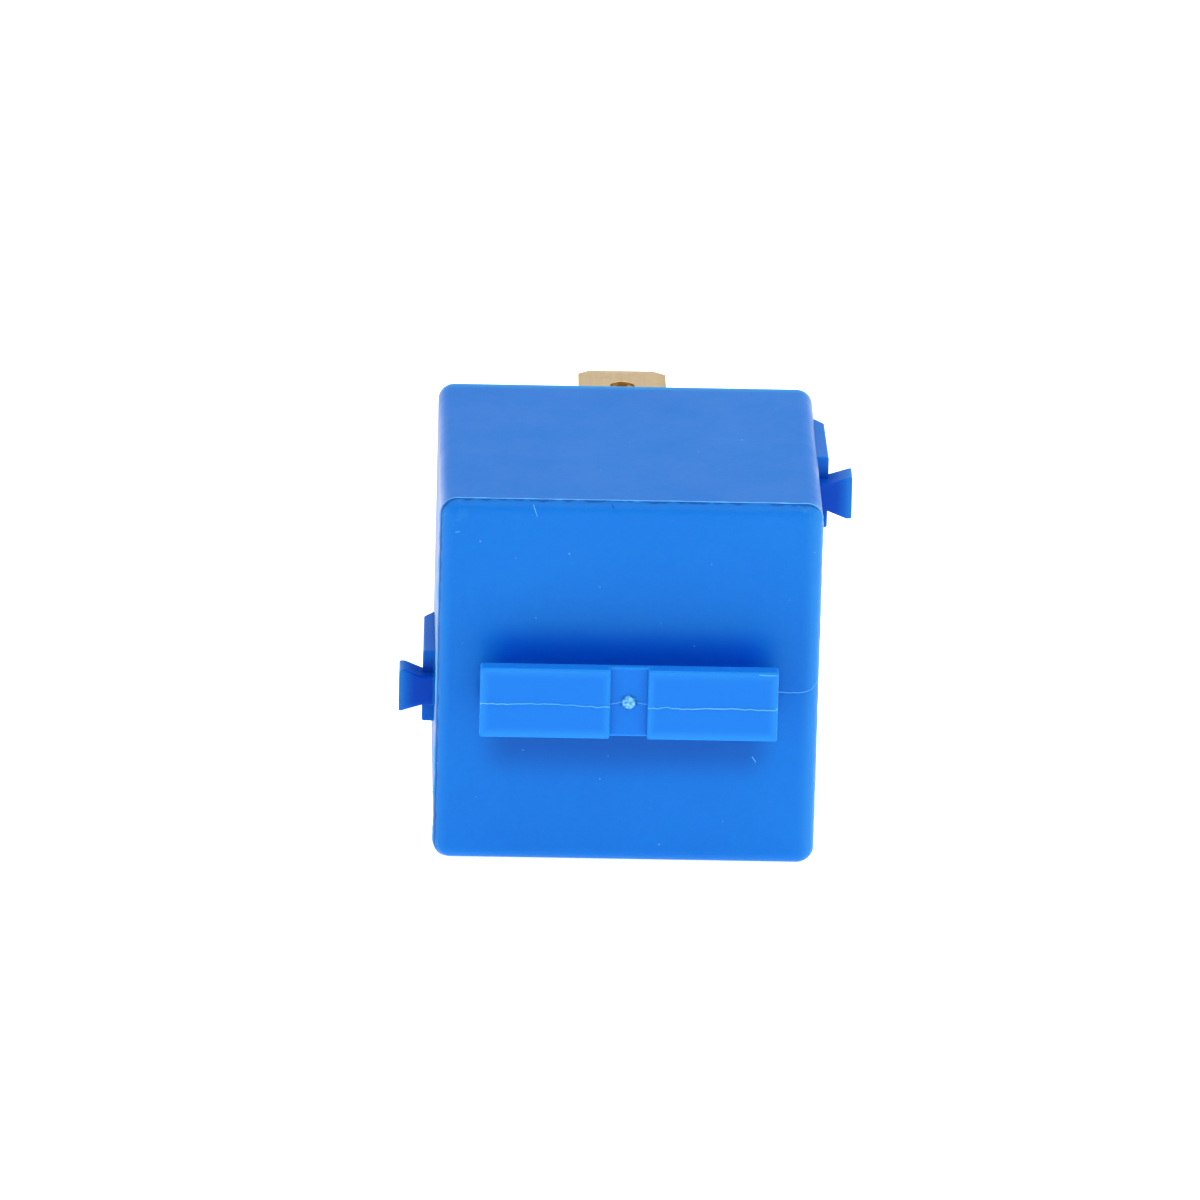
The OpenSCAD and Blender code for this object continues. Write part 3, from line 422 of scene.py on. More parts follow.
def weigh(piece):
    """Sets the corner normals: flats stay flat beside small rounded edges, and round walls look smooth."""
    mesh = piece.data
    faces = mesh.polygons
    rounded = mesh.attributes.get(ROUNDED)
    soft = [bool(rounded.data[face.index].value) if rounded else False for face in faces]
    normals, areas = [face.normal.copy() for face in faces], [face.area for face in faces]
    around = [[] for _ in mesh.vertices]
    for face in faces:
        for v in face.vertices:
            around[v].append(face.index)

    def mean(v, like, flats, least):
        total = Vector((0, 0, 0))
        for g in around[v]:
            if normals[g].dot(normals[like]) > least and not (flats and soft[g]):
                total += normals[g] * areas[g]
        return total.normalized() if total.length > 0 else normals[like]

    corners = []
    for face in faces:
        for v in face.vertices:
            like = face.index
            if soft[like]:
                flats = [g for g in around[v] if not soft[g] and normals[g].dot(normals[like]) > SAME_ROUND]
                if not flats:
                    corners.append(mean(v, like, False, SAME_ROUND))
                    continue
                like = max(flats, key=lambda g: normals[g].dot(normals[face.index]))
            corners.append(mean(v, like, True, SAME_FLAT))
    mesh.normals_split_custom_set(corners)


def from_cad(node, edge, segments=2, angle=40, edge_material=0, leave_sharp=None):
    """A copy of a CAD node's mesh, with its flats joined up and its sharp outer edges rounded by edge.

    Edges that fold by more than angle degrees are sharp, but not where leave_sharp holds for both ends."""
    bm = bmesh.new()
    bm.from_mesh(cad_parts[node].data)
    layer = bm.faces.layers.int.new(ROUNDED)
    bmesh.ops.remove_doubles(bm, verts=bm.verts, dist=WELD_M)
    bmesh.ops.dissolve_degenerate(bm, dist=WELD_M, edges=bm.edges)
    bmesh.ops.dissolve_limit(bm, angle_limit=math.radians(FLAT_DEGREES), verts=bm.verts, edges=bm.edges,
                             use_dissolve_boundaries=False)
    bmesh.ops.triangulate(bm, faces=[f for f in bm.faces if len(f.verts) > 4], ngon_method="BEAUTY")
    sharp = [e for e in bm.edges
             if len(e.link_faces) == 2 and e.is_convex and e.calc_face_angle(0) > math.radians(angle)
             and not (leave_sharp and all(leave_sharp(v.co / MM) for v in e.verts))]
    made = bmesh.ops.bevel(bm, geom=sharp, offset=edge * MM, offset_type="OFFSET", segments=segments,
                           profile=0.5, affect="EDGES", clamp_overlap=False, loop_slide=True,
                           miter_outer="SHARP", miter_inner="SHARP", material=edge_material)
    for face in made["faces"]:
        face[layer] = 1
    bmesh.ops.recalc_face_normals(bm, faces=bm.faces)
    return bm


def dress(node, name, material, body, slot, edge, segments=2, angle=40, tag=None):
    """Puts a piece in the place of a CAD node. tag gives each face's place in a list of materials."""
    bm = from_cad(node, edge, segments, angle)
    if tag:
        for face in bm.faces:
            face.material_index = tag(face)
    weigh(keep(bm, name, material, body, [node]))


def quads(bm, rows, closed=True, turned=False):
    """Faces between neighbouring rings or open rows of points. turned makes them look the other way."""
    for a, b in zip(rows, rows[1:]):
        for k in range(len(a) if closed else len(a) - 1):
            n = (k + 1) % len(a)
            bm.faces.new((a[k], b[k], b[n], a[n]) if turned else (a[k], a[n], b[n], b[k]))


def along(points, i):
    """The direction of a path at its point i."""
    return (points[min(i + 1, len(points) - 1)] - points[max(i - 1, 0)]).normalized()


def frames_along(points, side):
    """The path's direction and two side vectors, carried along it without twist."""
    rows = []
    u = Vector(side)
    for i in range(len(points)):
        t = along(points, i)
        u = (u - t * u.dot(t)).normalized()
        rows.append((t, u, t.cross(u)))
    return rows


def sweep(bm, points, radius, sides, side=(1, 0, 0)):
    """Adds a round tube with closed ends along points. The radius is in metres, as they are."""
    turn = circle(sides)
    rings = [[bm.verts.new(p + (u * c + v * s) * radius) for c, s in turn]
             for p, (_, u, v) in zip(points, frames_along(points, side))]
    quads(bm, rings)
    bm.faces.new(rings[0][::-1])
    bm.faces.new(rings[-1])


def smooth_path(points, per=5):
    """Catmull-Rom through a short list of points."""
    out = []
    p = [points[0] * 2 - points[1], *points, points[-1] * 2 - points[-2]]
    for a, b, c, d in zip(p, p[1:], p[2:], p[3:]):
        for k in range(per):
            t = k / per
            out.append(0.5 * ((2 * b) + (c - a) * t + (2 * a - 5 * b + 4 * c - d) * t * t
                              + (3 * b - 3 * c + d - a) * t ** 3))
    out.append(points[-1])
    return out


def rounded_path(points, radius, per=6):
    """A polyline whose corners are bent round a small radius, as wire is."""
    out = [points[0]]
    for a, b, c in zip(points, points[1:], points[2:]):
        r = min(radius * MM, (b - a).length * 0.45, (c - b).length * 0.45)
        p, q = b + (a - b).normalized() * r, b + (c - b).normalized() * r
        for k in range(per + 1):
            t = k / per
            out.append(p * (1 - t) ** 2 + b * 2 * t * (1 - t) + q * t * t)
    out.append(points[-1])
    return out


def ridge(bm, points, out, across, high, seed, rough=0.5, taller=None):
    """A thin uneven fin along a polyline: out is the way it stands, one for all points or one for each."""
    rng = random.Random(seed)
    sunk = 0.01 * MM
    rows = []
    for i, p in enumerate(points):
        o = out[i] if isinstance(out, list) else out
        s = along(points, i).cross(o).normalized()
        wave = 0.5 + 0.5 * noise.noise(p * 900 + Vector((seed, 0, 0)))
        h = high * (1 - rough + rough * wave * 2) * MM * rng.uniform(0.85, 1.15)
        w = across * MM / 2 * (0.8 + 0.4 * wave)
        if taller:
            h *= taller(p, o)
        if i in (0, len(points) - 1):
            h *= 0.2
        rows.append([bm.verts.new(p - s * w - o * sunk), bm.verts.new(p - s * w * 0.35 + o * h),
                     bm.verts.new(p + s * w * 0.35 + o * h), bm.verts.new(p + s * w - o * sunk)])
    quads(bm, rows, closed=False)
    bm.faces.new(rows[0][::-1])
    bm.faces.new(rows[-1])


def wavy(points, step, wander, seed, out):
    """A polyline cut into short steps that wander slightly sideways in the surface."""
    made = []
    for a, b in zip(points, points[1:]):
        n = max(1, round((b - a).length / (step * MM)))
        made += [a.lerp(b, k / n) for k in range(n)]
    made.append(points[-1])
    for i in range(1, len(made) - 1):
        s = along(made, i).cross(out).normalized()
        fine = noise.noise(made[i] * 2300 + Vector((0, seed, 0)))
        slow = noise.noise(made[i] * 500 + Vector((seed, 0, 0)))
        made[i] = made[i] + s * wander * MM * (fine + slow)
    return made


def fleck(bm, place, out, radius, seed):
    """A low uneven blister: a speck of dust that sticks to the surface."""
    side = out.orthogonal().normalized()
    other = out.cross(side)
    rim = []
    for c, s in circle(9):
        r = radius * MM * (0.8 + 0.5 * noise.noise(Vector((c, s, seed))))
        rim.append(bm.verts.new(place + (side * c + other * s) * r - out * 0.004 * MM))
    top = bm.verts.new(place + out * radius * 0.5 * MM)
    for a, b in zip(rim, rim[1:] + rim[:1]):
        bm.faces.new((a, b, top))


# ---------------------------------------------------------------- cover

COVER_EDGE, COVER_EDGE_SEGMENTS = 0.15, 3
PAINTED_EDGE_HIGHLIGHT_TO = 13.25                 # further out, on the pads and keys, the rounded edges get no painted highlight
GRIP_ROOT_OUT, GRIP_ROOT_Y, GRIP_ROOT_Z = 9.5, (-17.2, -16.4), (11.4, 15.2)


def grip_root_end(p):
    """The ends of the grip's root fillets run out to nothing on the wall, so they stay sharp."""
    return (abs(p.x) > GRIP_ROOT_OUT and GRIP_ROOT_Y[0] < p.y < GRIP_ROOT_Y[1]
            and GRIP_ROOT_Z[0] < p.z < GRIP_ROOT_Z[1])


# the cover's rounded edges take the painted edge highlight, except out on the pads and keys
bm = from_cad("cover", COVER_EDGE, COVER_EDGE_SEGMENTS, edge_material=1, leave_sharp=grip_root_end)
for face in bm.faces:
    if abs(face.calc_center_median().x) > PAINTED_EDGE_HIGHLIGHT_TO * MM:
        face.material_index = 0
weigh(keep(bm, "cover_moulding", [blue, painted_edge_blue], COVER, ["cover"]))

# the mould's joint across the grip and out to the right-hand edge, and a short line high on the grip:
# places, then step and wander of the line, then width, height and unevenness of the fin
FRONT = Vector((0, -1, 0))
JOINT_LINES = (
    (((-10.3, HEAD, 13.24), (-4.6, HEAD, 13.30), (-1.32, HEAD, 13.13)), 0.12, 0.07, 0.085, 0.045, 0.8),
    (((-1.28, RECESS, 13.15), (-0.5, RECESS, 13.30)), 0.12, 0.04, 0.085, 0.04, 0.5),
    (((0.48, RECESS, 13.30), (1.28, RECESS, 13.18)), 0.12, 0.04, 0.085, 0.04, 0.5),
    (((1.32, HEAD, 13.12), (2.1, HEAD, 13.08), (2.6, HEAD, 13.17), (3.3, HEAD, 13.11), (10.3, HEAD, 13.13)),
     0.12, 0.07, 0.095, 0.05, 0.8),
    (((10.30, 0, 12.9), (12.0, 0, 12.94), (12.5, 0, 13.03), (12.85, 0.12, 13.2), (13.02, 0.25, 13.4),
      (13.2, 0.49, 13.7), (13.27, 0.67, 13.95)), 0.15, 0.04, 0.085, 0.045, 0.5),
    (((9.0, HEAD, 15.70), (10.2, HEAD, 15.66)), 0.12, 0.04, 0.07, 0.02, 0.9))
bm = bmesh.new()
for seed, (places, step, wander, across, high, rough) in enumerate(JOINT_LINES, 1):
    ridge(bm, wavy([at(*p) for p in places], step, wander, seed, FRONT), FRONT, across, high, seed, rough)
for side in (-1, 1):
    fleck(bm, at(side * 10.29, -4.04, 13.2), Vector((side, -1, 0)).normalized(), 0.11, side)
weigh(keep(bm, "grip_flash_line", blue_thin, COVER))


def outline(step):
    """Points round the closed end, in millimetres with y at 0, and the way out at each."""
    ring, outs = [], []
    for qx, qz, start in ((1, 1, 0), (-1, 1, 90), (-1, -1, 180), (1, -1, 270)):
        centre = Vector((qx * (HALF - CORNER), 0, TOP / 2 + qz * (HALF - CORNER)))
        for k in range(9):
            a = math.radians(start + 90 * k / 8)
            way = Vector((math.cos(a), 0, math.sin(a)))
            ring.append(centre + way * CORNER)
            outs.append(way)
    ring.append(ring[0].copy())
    outs.append(outs[0].copy())
    points, ways = [], []
    for i in range(len(ring) - 1):
        n = max(1, round((ring[i + 1] - ring[i]).length / step))
        for k in range(n):
            points.append(ring[i].lerp(ring[i + 1], k / n))
            ways.append(outs[i].lerp(outs[i + 1], k / n).normalized())
    points.append(ring[-1])
    ways.append(outs[-1])
    return points, ways


# the joint round the closed end wanders along the far edge of its fillet
points, ways = outline(0.3)
for p in points[:-1]:
    p.y = FILLET + 0.05 * noise.noise(p * 0.6 + Vector((3, 1, 0)))
points[-1].y = points[0].y


def flash_height(place, way):
    """Taller and lumpy on the left side, most of all beside the pad and below it."""
    left = max(0.0, -way.x)
    low = 1.0 if place.z < 18.5 * MM else 0.35
    return 1 + left * (0.25 + low * 1.5 * abs(noise.noise(place * 1500)) + low * 0.5)


bm = bmesh.new()
ridge(bm, [at(p.x, p.y, max(p.z, 0.05)) for p in points], ways, 0.13, 0.040, 11, 0.8, flash_height)
weigh(keep(bm, "closed_end_flash_line", blue_thin, COVER))


def fillet_point(p, way, degrees, lift=0.009):
    """A point of the closed end's fillet, in front of the joint by an angle and lifted off the surface."""
    a = math.radians(degrees)
    put = p - way * (FILLET * (1 - math.cos(a))) + way * math.cos(a) * lift
    return at(put.x, FILLET - FILLET * math.sin(a) - lift * math.sin(a), put.z)


# painted shadow at the foot of that ridge, which reaches further along the upper and left edges and is broken
# there
SEAM_LEAST, SEAM_STEPS = 2.0, 5       # degrees in front of the joint, strips of faces
bm = bmesh.new()
rows = []
for p, way in zip(points, ways):
    deep = (noise.noise(Vector((p.x * 1.7, 4.0, p.z * 1.7)))
            + 0.5 * noise.noise(Vector((p.x * 5.1, 9.0, p.z * 5.1))))
    left = max(0.0, -way.x)
    side = left ** 2 + max(0.0, way.z) ** 2
    wanted = max(0.5, 9.0 + 17.0 * left + (26.0 - 16.0 * left) * deep)
    reach = 3.0 + min(24.0 + 8.0 * left, wanted) * side
    rows.append([bm.verts.new(fillet_point(p, way, SEAM_LEAST + (reach - SEAM_LEAST) * k / SEAM_STEPS))
                 for k in range(SEAM_STEPS + 1)])
quads(bm, rows, closed=False, turned=True)
bmesh.ops.recalc_face_normals(bm, faces=bm.faces)
keep(bm, "closed_end_painted_shadow", painted_seam_shadow_blue, COVER)

# short dark nicks and scuffs beside that joint, each along its own line on the upper fillet:
# x, angle on the fillet where it starts, angle by which it turns, length and width
NICKS = ((-4.3, 3, 4, 1.1, 0.09), (-3.1, 5, 8, 0.55, 0.07), (-2.45, 10, -14, 0.35, 0.08), (-1.9, 4, 3, 0.8, 0.09),
         (-5.9, 6, -6, 0.5, 0.05), (3.2, 4, 3, 0.7, 0.06), (7.4, 4, 3, 0.6, 0.06), (10.2, 4, 4, 0.9, 0.07),
         (-11.2, 5, 5, 0.7, 0.08), (-1.35, 30, 26, 0.25, 0.10))
bm = bmesh.new()
for x, start, turn, long, wide in NICKS:
    rows = []
    for k in range(9):
        t = k / 8
        w = wide * math.sin(math.pi * t) ** 0.6 * (0.7 + 0.5 * noise.noise(Vector((x + t * 3, start, 2))))
        c = x + long * (t - 0.5)
        a = math.radians(start + turn * t)
        y, z = FILLET - FILLET * math.sin(a), TOP - FILLET * (1 - math.cos(a)) + 0.012
        rise = w / 2 * math.tan(a)
        rows.append((bm.verts.new(at(c, y - w / 2, z - rise)), bm.verts.new(at(c, y + w / 2, z + rise * 0.6))))
    quads(bm, rows, closed=False, turned=True)
bmesh.ops.remove_doubles(bm, verts=bm.verts, dist=WELD_M)
bmesh.ops.recalc_face_normals(bm, faces=bm.faces)
keep(bm, "closed_end_nicks", blue_nick, COVER)

# light scratches (x, z, length, slant in degrees) and specks of dust (place and radius)
SCRATCHES = ((-6.76, 26.08, 0.66, 112), (8.95, 7.9, 0.5, 125), (-12.1, 24.4, 0.35, 12))
CLOSED_END_SPECKS = (
    (-6.52, 18.14, 0.055), (-1.77, 6.24, 0.06), (-7.2, 8.31, 0.05), (-10.4, 4.74, 0.045), (-2.12, 20.51, 0.045),
    (11.12, 19.79, 0.04), (5.6, 22.3, 0.04), (-11.6, 16.2, 0.04), (6.9, 3.2, 0.045), (2.2, 17.9, 0.035),
    (-6.62, 25.68, 0.06))
UPPER_WALL_SPECKS = ((7.98, 14.06, 0.075), (4.81, 11.35, 0.06), (-7.6, 17.5, 0.05), (-2.1, 7.2, 0.045),
                     (10.6, 21.0, 0.05))
bm = bmesh.new()
for x, z, length, slant in SCRATCHES:
    way = Vector((math.cos(math.radians(slant)), 0, math.sin(math.radians(slant))))
    mark = [Vector((x, -0.002, z)) + way * length * (k / 8 - 0.5)
            + Vector((0.02 * math.sin(k * 2.1 + x), 0, 0)) for k in range(9)]
    for point in mark:
        point.y += FILLET - math.sqrt(FILLET ** 2 - max(0.0, point.z - TOP + FILLET) ** 2)
    ridge(bm, [at(*p) for p in mark], FRONT, 0.055, 0.012, x, 0.4)
for x, z, r in CLOSED_END_SPECKS:
    fleck(bm, at(x, 0, z), FRONT, r, x)
for x, y, r in UPPER_WALL_SPECKS:
    fleck(bm, at(x, y, TOP), Vector((0, 0, 1)), r, y)
bmesh.ops.recalc_face_normals(bm, faces=bm.faces)
keep(bm, "dust_and_scratches", blue_thin, COVER)

# the torn gate in the recess: a lumpy disc with a steep edge that ends under the surface
GATE_R, GATE_RINGS, GATE_SIDES = 0.49, 8, 26
GATE_HEIGHT, GATE_LEAST, GATE_SHOULDER, GATE_FOOT = 0.20, 0.145, 0.15, -0.01


def gate_lift(p):
    """How high the torn face stands over the recess at a point of it."""
    lumps = 0.05 * noise.noise(p * 7 + Vector((0, 2, 0))) + 0.05 * noise.noise(p * 23)
    return max(GATE_LEAST, GATE_HEIGHT + lumps)


bm = bmesh.new()
middle = bm.verts.new(at(0, RECESS - gate_lift(Vector((0, 0, 0))), TOP / 2))
rings = []
for j in range(1, GATE_RINGS + 1):
    r = GATE_R * (j / GATE_RINGS) ** 0.8
    row = []
    for c, s in circle(GATE_SIDES):
        p = Vector((r * c, 0, r * s))
        lift = GATE_FOOT if j == GATE_RINGS else GATE_SHOULDER if j == GATE_RINGS - 1 else gate_lift(p)
        row.append(bm.verts.new(at(p.x, RECESS - lift, TOP / 2 + p.z)))
    rings.append(row)
for k in range(GATE_SIDES):
    bm.faces.new((middle, rings[0][(k + 1) % GATE_SIDES], rings[0][k]))
quads(bm, rings)
bmesh.ops.recalc_face_normals(bm, faces=bm.faces)
keep(bm, "gate_scar", blue_torn, COVER)


# ---------------------------------------------------------------- base, terminals, magnet and contacts

BLADES_FROM_M = cad_high.y - 10.5 * MM
ACROSS_STRIP = 0.3        # a face whose normal has less than this along the strip's thin way is a cut one


def cut_side(axis):
    """The blades' cut edges and their holes show the bare brass: axis is the strip's thin way, 0 or 2."""
    return lambda face: int(face.calc_center_median().y > BLADES_FROM_M
                            and abs(face.normal[axis]) < ACROSS_STRIP)


dress("base", "base_plate", black, BASE, "base_plastic", 0.06)
for node, axis in (("terminal_30", 0), ("terminal_85", 0), ("terminal_86", 0), ("terminal_87", 2),
                   ("terminal_87a", 2)):
    dress(node, node + "_strip", [tinned, cut_brass], BASE, "tinned_brass", 0.05, angle=35, tag=cut_side(axis))
for row in (("yoke", "yoke_plate", zinc, BASE, "soft_iron", 0.08),
            ("core", "core_turned", bright, BASE, "soft_iron", 0.03, 1),
            ("bobbin", "bobbin_former", ivory, BASE, "bobbin_plastic", 0.07),
            ("armature", "armature_plate", zinc, ARMATURE, "soft_iron", 0.08),
            ("contact_leaf", "contact_leaf_strip", bronze, ARMATURE, "spring_bronze", 0.04, 1),
            ("leaf_rivets", "leaf_rivet_heads", bright, ARMATURE, "rivet_steel", 0.06),
            ("moving_contact", "moving_contact_heads", silver, ARMATURE, "contact_silver", 0.04),
            ("contact_87", "contact_87_head", silver, BASE, "contact_silver", 0.04),
            ("contact_87a", "contact_87a_head", silver, BASE, "contact_silver", 0.04)):
    dress(*row)


# ---------------------------------------------------------------- winding and its leads

# the winding as one wire, wound in a tight layer over a plain cylinder
WINDING_TURNS, WINDING_STEPS, WINDING_CORE_SIDES = 27, 30, 48
WINDING_WIRE_M = 0.18 * MM
low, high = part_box("coil_winding")
axis = Vector(((low.x + high.x) / 2, 0, (low.z + high.z) / 2))
radius = (high.x - low.x) / 2
path = []
for i in range(WINDING_TURNS * WINDING_STEPS + 1):
    a = math.tau * i / WINDING_STEPS
    share = i / (WINDING_TURNS * WINDING_STEPS)
    path.append(Vector((axis.x + (radius - WINDING_WIRE_M) * math.cos(a),
                        low.y + WINDING_WIRE_M + (high.y - low.y - 2 * WINDING_WIRE_M) * share,
                        axis.z + (radius - WINDING_WIRE_M) * math.sin(a))))
bm = bmesh.new()
sweep(bm, path, WINDING_WIRE_M, 8, (0, 1, 0))
core_r = radius - 1.4 * WINDING_WIRE_M
inner = [[bm.verts.new(Vector((axis.x + core_r * c, y, axis.z + core_r * s)))
          for c, s in circle(WINDING_CORE_SIDES)] for y in (low.y, high.y)]
quads(bm, inner, turned=True)
bm.faces.new(inner[0])
bm.faces.new(inner[1][::-1])
keep(bm, "winding_wire", enamelled, BASE, ["coil_winding"])

# each lead runs out from the winding, down beside the flange, out to its terminal and up
LEAD_DOWN_FROM_END = 0.8
LEAD_BEND = 0.25
for node, s in (("coil_lead_85", -1), ("coil_lead_86", 1)):
    lo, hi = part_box(node)
    r = (hi.y - lo.y) / 2
    y = (lo.y + hi.y) / 2
    near, far = (lo.x, hi.x) if s > 0 else (hi.x, lo.x)
    corner = near + s * (abs(far - near) - 3 * r - LEAD_DOWN_FROM_END * MM)
    end = far - s * r
    route = [Vector((near, y, axis.z)), Vector((corner, y, axis.z)), Vector((corner, y, lo.z + r)),
             Vector((end, y, lo.z + r)), Vector((end, y, hi.z - r))]
    bm = bmesh.new()
    sweep(bm, rounded_path(route, LEAD_BEND), r, 10, (0, 1, 0))
    keep(bm, node + "_wire", enamelled, BASE, [node])


# ---------------------------------------------------------------- return spring and braid

# the spring's hooks and turns as one smooth wire
SPRING_Z, SPRING_R, SPRING_WIRE, SPRING_TURNS, SPRING_STEPS = 3.06, 0.85, 0.14, 9, 22
SPRING_FROM, SPRING_TO = 8.04, 13.44  # the turns, between the hooks
HOOK_RISE = SPRING_R * 0.45
upper_hook = smooth_path([at(0, y, SPRING_Z + rise) for y, rise in (
    (5.03, -1.09), (4.87, -0.51), (5.03, 0), (5.53, 0), (SPRING_FROM - 0.55, 0), (SPRING_FROM - 0.3, HOOK_RISE))])
lower_hook = smooth_path([at(0, y, SPRING_Z + rise) for y, rise in (
    (SPRING_TO + 0.3, HOOK_RISE), (SPRING_TO + 0.55, 0), (14.94, 0), (15.24, -0.32), (15.24, -0.77))])
turns = []
for i in range(SPRING_TURNS * SPRING_STEPS + 1):
    a = math.pi / 2 + math.tau * i / SPRING_STEPS
    y = SPRING_FROM + (SPRING_TO - SPRING_FROM) * i / (SPRING_TURNS * SPRING_STEPS)
    turns.append(at(SPRING_R * math.cos(a), y, SPRING_Z + SPRING_R * math.sin(a)))
bm = bmesh.new()
sweep(bm, upper_hook + turns + lower_hook, SPRING_WIRE * MM, 10)
keep(bm, "return_spring_wire", wire_steel, None, ["return_spring"],
     (ARMATURE, BASE, at(0, 6.2, SPRING_Z), at(0, 13.0, SPRING_Z)))


def bezier(a, b, c, d, t):
    u = 1 - t
    return a * u ** 3 + b * 3 * u * u * t + c * 3 * u * t * t + d * t ** 3


# the braid's strands, laid both ways round the route that the solid follows, over a plain middle
BRAID_R, BRAID_MIDDLE_R, STRAND_R, STRAND_OUT, STRAND_WEAVE = 0.45, 0.26, 0.105, 0.30, 0.045
STRANDS, STRAND_LAY = 5, 0.55         # strands each way, and their turn per step in radians
BRAID_END_Y, BRAID_DIP_X, BRAID_MEETS_X = 4.09, 8, 2.95
lo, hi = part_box("contact_braid")
leave = Vector((hi.x - BRAID_R * MM, hi.y - BRAID_R * 3 * MM, lo.z + BRAID_R * MM))
end_y, end_z = at(0, BRAID_END_Y, 0).y, hi.z - BRAID_R * MM
lean = Vector((leave.x, end_y + 2 * BRAID_R * MM, leave.z))
dip = Vector((BRAID_DIP_X * MM, end_y - 2 * BRAID_R * MM, end_z))
meet = Vector((BRAID_MEETS_X * MM, end_y, end_z))
route = [leave + Vector((0, BRAID_R * 3 * MM, 0)) * (1 - k / 6) for k in range(6)]
route += [bezier(leave, lean, dip, meet, k / 60) for k in range(61)]
route += [meet - Vector((BRAID_MEETS_X * MM * k / 10, 0, 0)) for k in range(1, 11)]
rows = frames_along(route, (0, 0, 1))
bm = bmesh.new()
for way in (1, -1):
    for strand in range(STRANDS):
        first = math.tau * strand / STRANDS
        line = []
        for i, (p, (_, u, v)) in enumerate(zip(route, rows)):
            a = way * i * STRAND_LAY + first
            r = (STRAND_OUT + STRAND_WEAVE * way * math.cos(STRANDS * (i * STRAND_LAY) + first)) * MM
            line.append(p + (u * math.cos(a) + v * math.sin(a)) * r)
        sweep(bm, line, STRAND_R * MM, 6, (0, 0, 1))
sweep(bm, route, BRAID_MIDDLE_R * MM, 8, (0, 0, 1))
keep(bm, "copper_braid_strands", copper, None, ["contact_braid"],
     (ARMATURE, BASE, at(3.5, 4.1, 11.9), at(10.4, 11.5, 8.5)))


# ---------------------------------------------------------------- resistor

# half of the body's outline: the share of its length and the share of its greatest radius
RESISTOR_OUTLINE = ((0.0, 0.30), (0.02, 0.62), (0.06, 0.86), (0.11, 0.97), (0.16, 1.0), (0.20, 0.985),
                    (0.25, 0.94), (0.32, 0.90), (0.5, 0.89))
LEAD_R, LEAD_STARTS_INSIDE, LEAD_CORNER = 0.28, 0.1, 0.5
lo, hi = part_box("resistor_body")
centre = (lo + hi) / 2
half = (hi.x - lo.x) / 2
thick = (hi.z - lo.z) / 2
bm = bmesh.new()
rings = []
for t, r in [*RESISTOR_OUTLINE, *((1 - t, r) for t, r in RESISTOR_OUTLINE[-2::-1])]:
    rings.append([bm.verts.new(Vector((lo.x + 2 * half * t, centre.y + thick * r * c, centre.z + thick * r * s)))
                  for c, s in circle(28)])
quads(bm, rings, turned=True)
bm.faces.new(rings[0])
bm.faces.new(rings[-1][::-1])
bmesh.ops.recalc_face_normals(bm, faces=bm.faces)
keep(bm, "resistor_lacquered_body", tan, BASE, ["resistor_body"])

lo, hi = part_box("resistor_leads")
bm = bmesh.new()
for s in (-1, 1):
    bend_x = s * (hi.x - LEAD_R * MM)
    route = [Vector((s * (half - LEAD_STARTS_INSIDE * MM), centre.y, centre.z)),
             Vector((bend_x, centre.y, centre.z)), Vector((bend_x, centre.y, lo.z))]
    sweep(bm, rounded_path(route, LEAD_CORNER), LEAD_R * MM, 12, (0, 1, 0))
keep(bm, "resistor_lead_wires", tin_wire, BASE, ["resistor_leads"])


# ---------------------------------------------------------------- floor, light and camera

FLOOR_HALF_M, FLOOR_Z_M = 1.5, -0.00002
bm = bmesh.new()
for x, y in ((-1, -1), (1, -1), (1, 1), (-1, 1)):
    bm.verts.new((x * FLOOR_HALF_M, y * FLOOR_HALF_M, FLOOR_Z_M))
bm.faces.new(bm.verts)
mesh = bpy.data.meshes.new("floor")
bm.to_mesh(mesh)
bm.free()
floor = bpy.data.objects.new("floor", mesh)
bpy.context.scene.collection.objects.link(floor)
paper = Nodes("pale_paper")
paper.colour(paper.ramp(paper.noise(30, 3, 0.5), (0.90, 0.90, 0.90), (0.93, 0.93, 0.93)))
paper.set(Roughness=0.9, Specular_IOR_Level=0.1, Emission_Color=(1, 1, 1, 1), Emission_Strength=0.82)
mesh.materials.append(paper.material)
floor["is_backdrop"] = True

bpy.context.scene.view_settings.view_transform = "Standard"
world = bpy.data.worlds.new("studio")
world.use_nodes = True
background = world.node_tree.nodes["Background"]
background.inputs["Color"].default_value = (1.0, 1.0, 1.0, 1)
background.inputs["Strength"].default_value = 0.81
bpy.context.scene.world = world

LIGHTS_AIM = Vector((0, 0, 0.013))


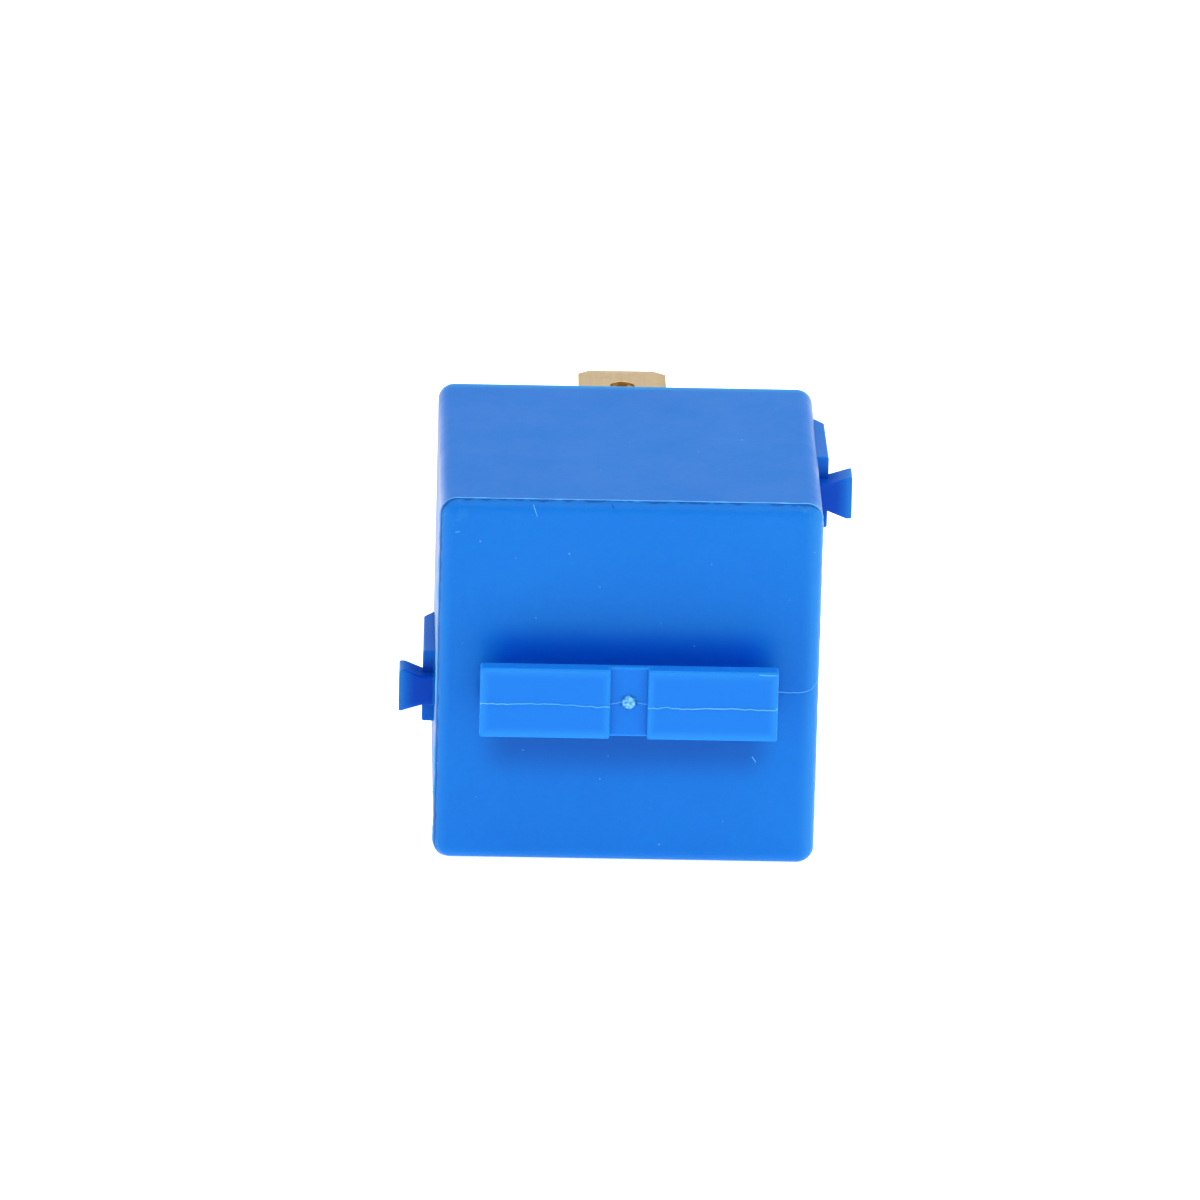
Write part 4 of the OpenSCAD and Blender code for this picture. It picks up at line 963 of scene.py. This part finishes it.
def softbox(name, place, size, power):
    """An area light that points at the relay: place and size in metres, power in watts."""
    data = bpy.data.lights.new(name, "AREA")
    data.shape = "RECTANGLE"
    data.size, data.size_y = size
    data.energy = power
    lamp = bpy.data.objects.new(name, data)
    lamp.location = place
    lamp.visible_camera = False
    lamp.rotation_mode = "QUATERNION"
    lamp.rotation_quaternion = (LIGHTS_AIM - Vector(place)).to_track_quat("-Z", "Y")
    bpy.context.scene.collection.objects.link(lamp)


softbox("left_softbox", (-0.75, -0.25, 0.27), (0.95, 0.5), 1.1)
softbox("right_softbox", (0.75, -0.25, 0.27), (0.95, 0.5), 2.0)
softbox("front_softbox", (0.0, -0.90, 0.16), (0.7, 0.3), 0.6)
softbox("top_softbox", (0.0, -0.1, 0.80), (0.6, 0.6), 2.8)

# the camera that was fitted to the photograph
PITCH, YAW, ROLL = math.radians(19.983), math.radians(1.533), math.radians(-1.508)
FOCAL_PX, PHOTO_PX, SENSOR_MM = 13651.25, 1200, 36
DISTANCE = 949.59
TARGET = (-2.0956, 0.0, 19.551)
look = Vector((math.sin(YAW) * math.cos(PITCH), math.cos(YAW) * math.cos(PITCH), -math.sin(PITCH)))
right = Vector((math.cos(YAW), -math.sin(YAW), 0))
up = right.cross(look)
right_rolled = right * math.cos(ROLL) - up * math.sin(ROLL)
up_rolled = right * math.sin(ROLL) + up * math.cos(ROLL)
place = at(*TARGET) - look * DISTANCE * MM
camera_data = bpy.data.cameras.new("camera")
camera_data.sensor_width = SENSOR_MM
camera_data.lens = FOCAL_PX / PHOTO_PX * SENSOR_MM
camera_data.clip_start, camera_data.clip_end = 0.05, 10
camera = bpy.data.objects.new("camera", camera_data)
camera.matrix_world = Matrix(((right_rolled.x, up_rolled.x, -look.x, place.x),
                              (right_rolled.y, up_rolled.y, -look.y, place.y),
                              (right_rolled.z, up_rolled.z, -look.z, place.z), (0, 0, 0, 1)))
bpy.context.scene.collection.objects.link(camera)
bpy.context.scene.camera = camera

low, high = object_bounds()
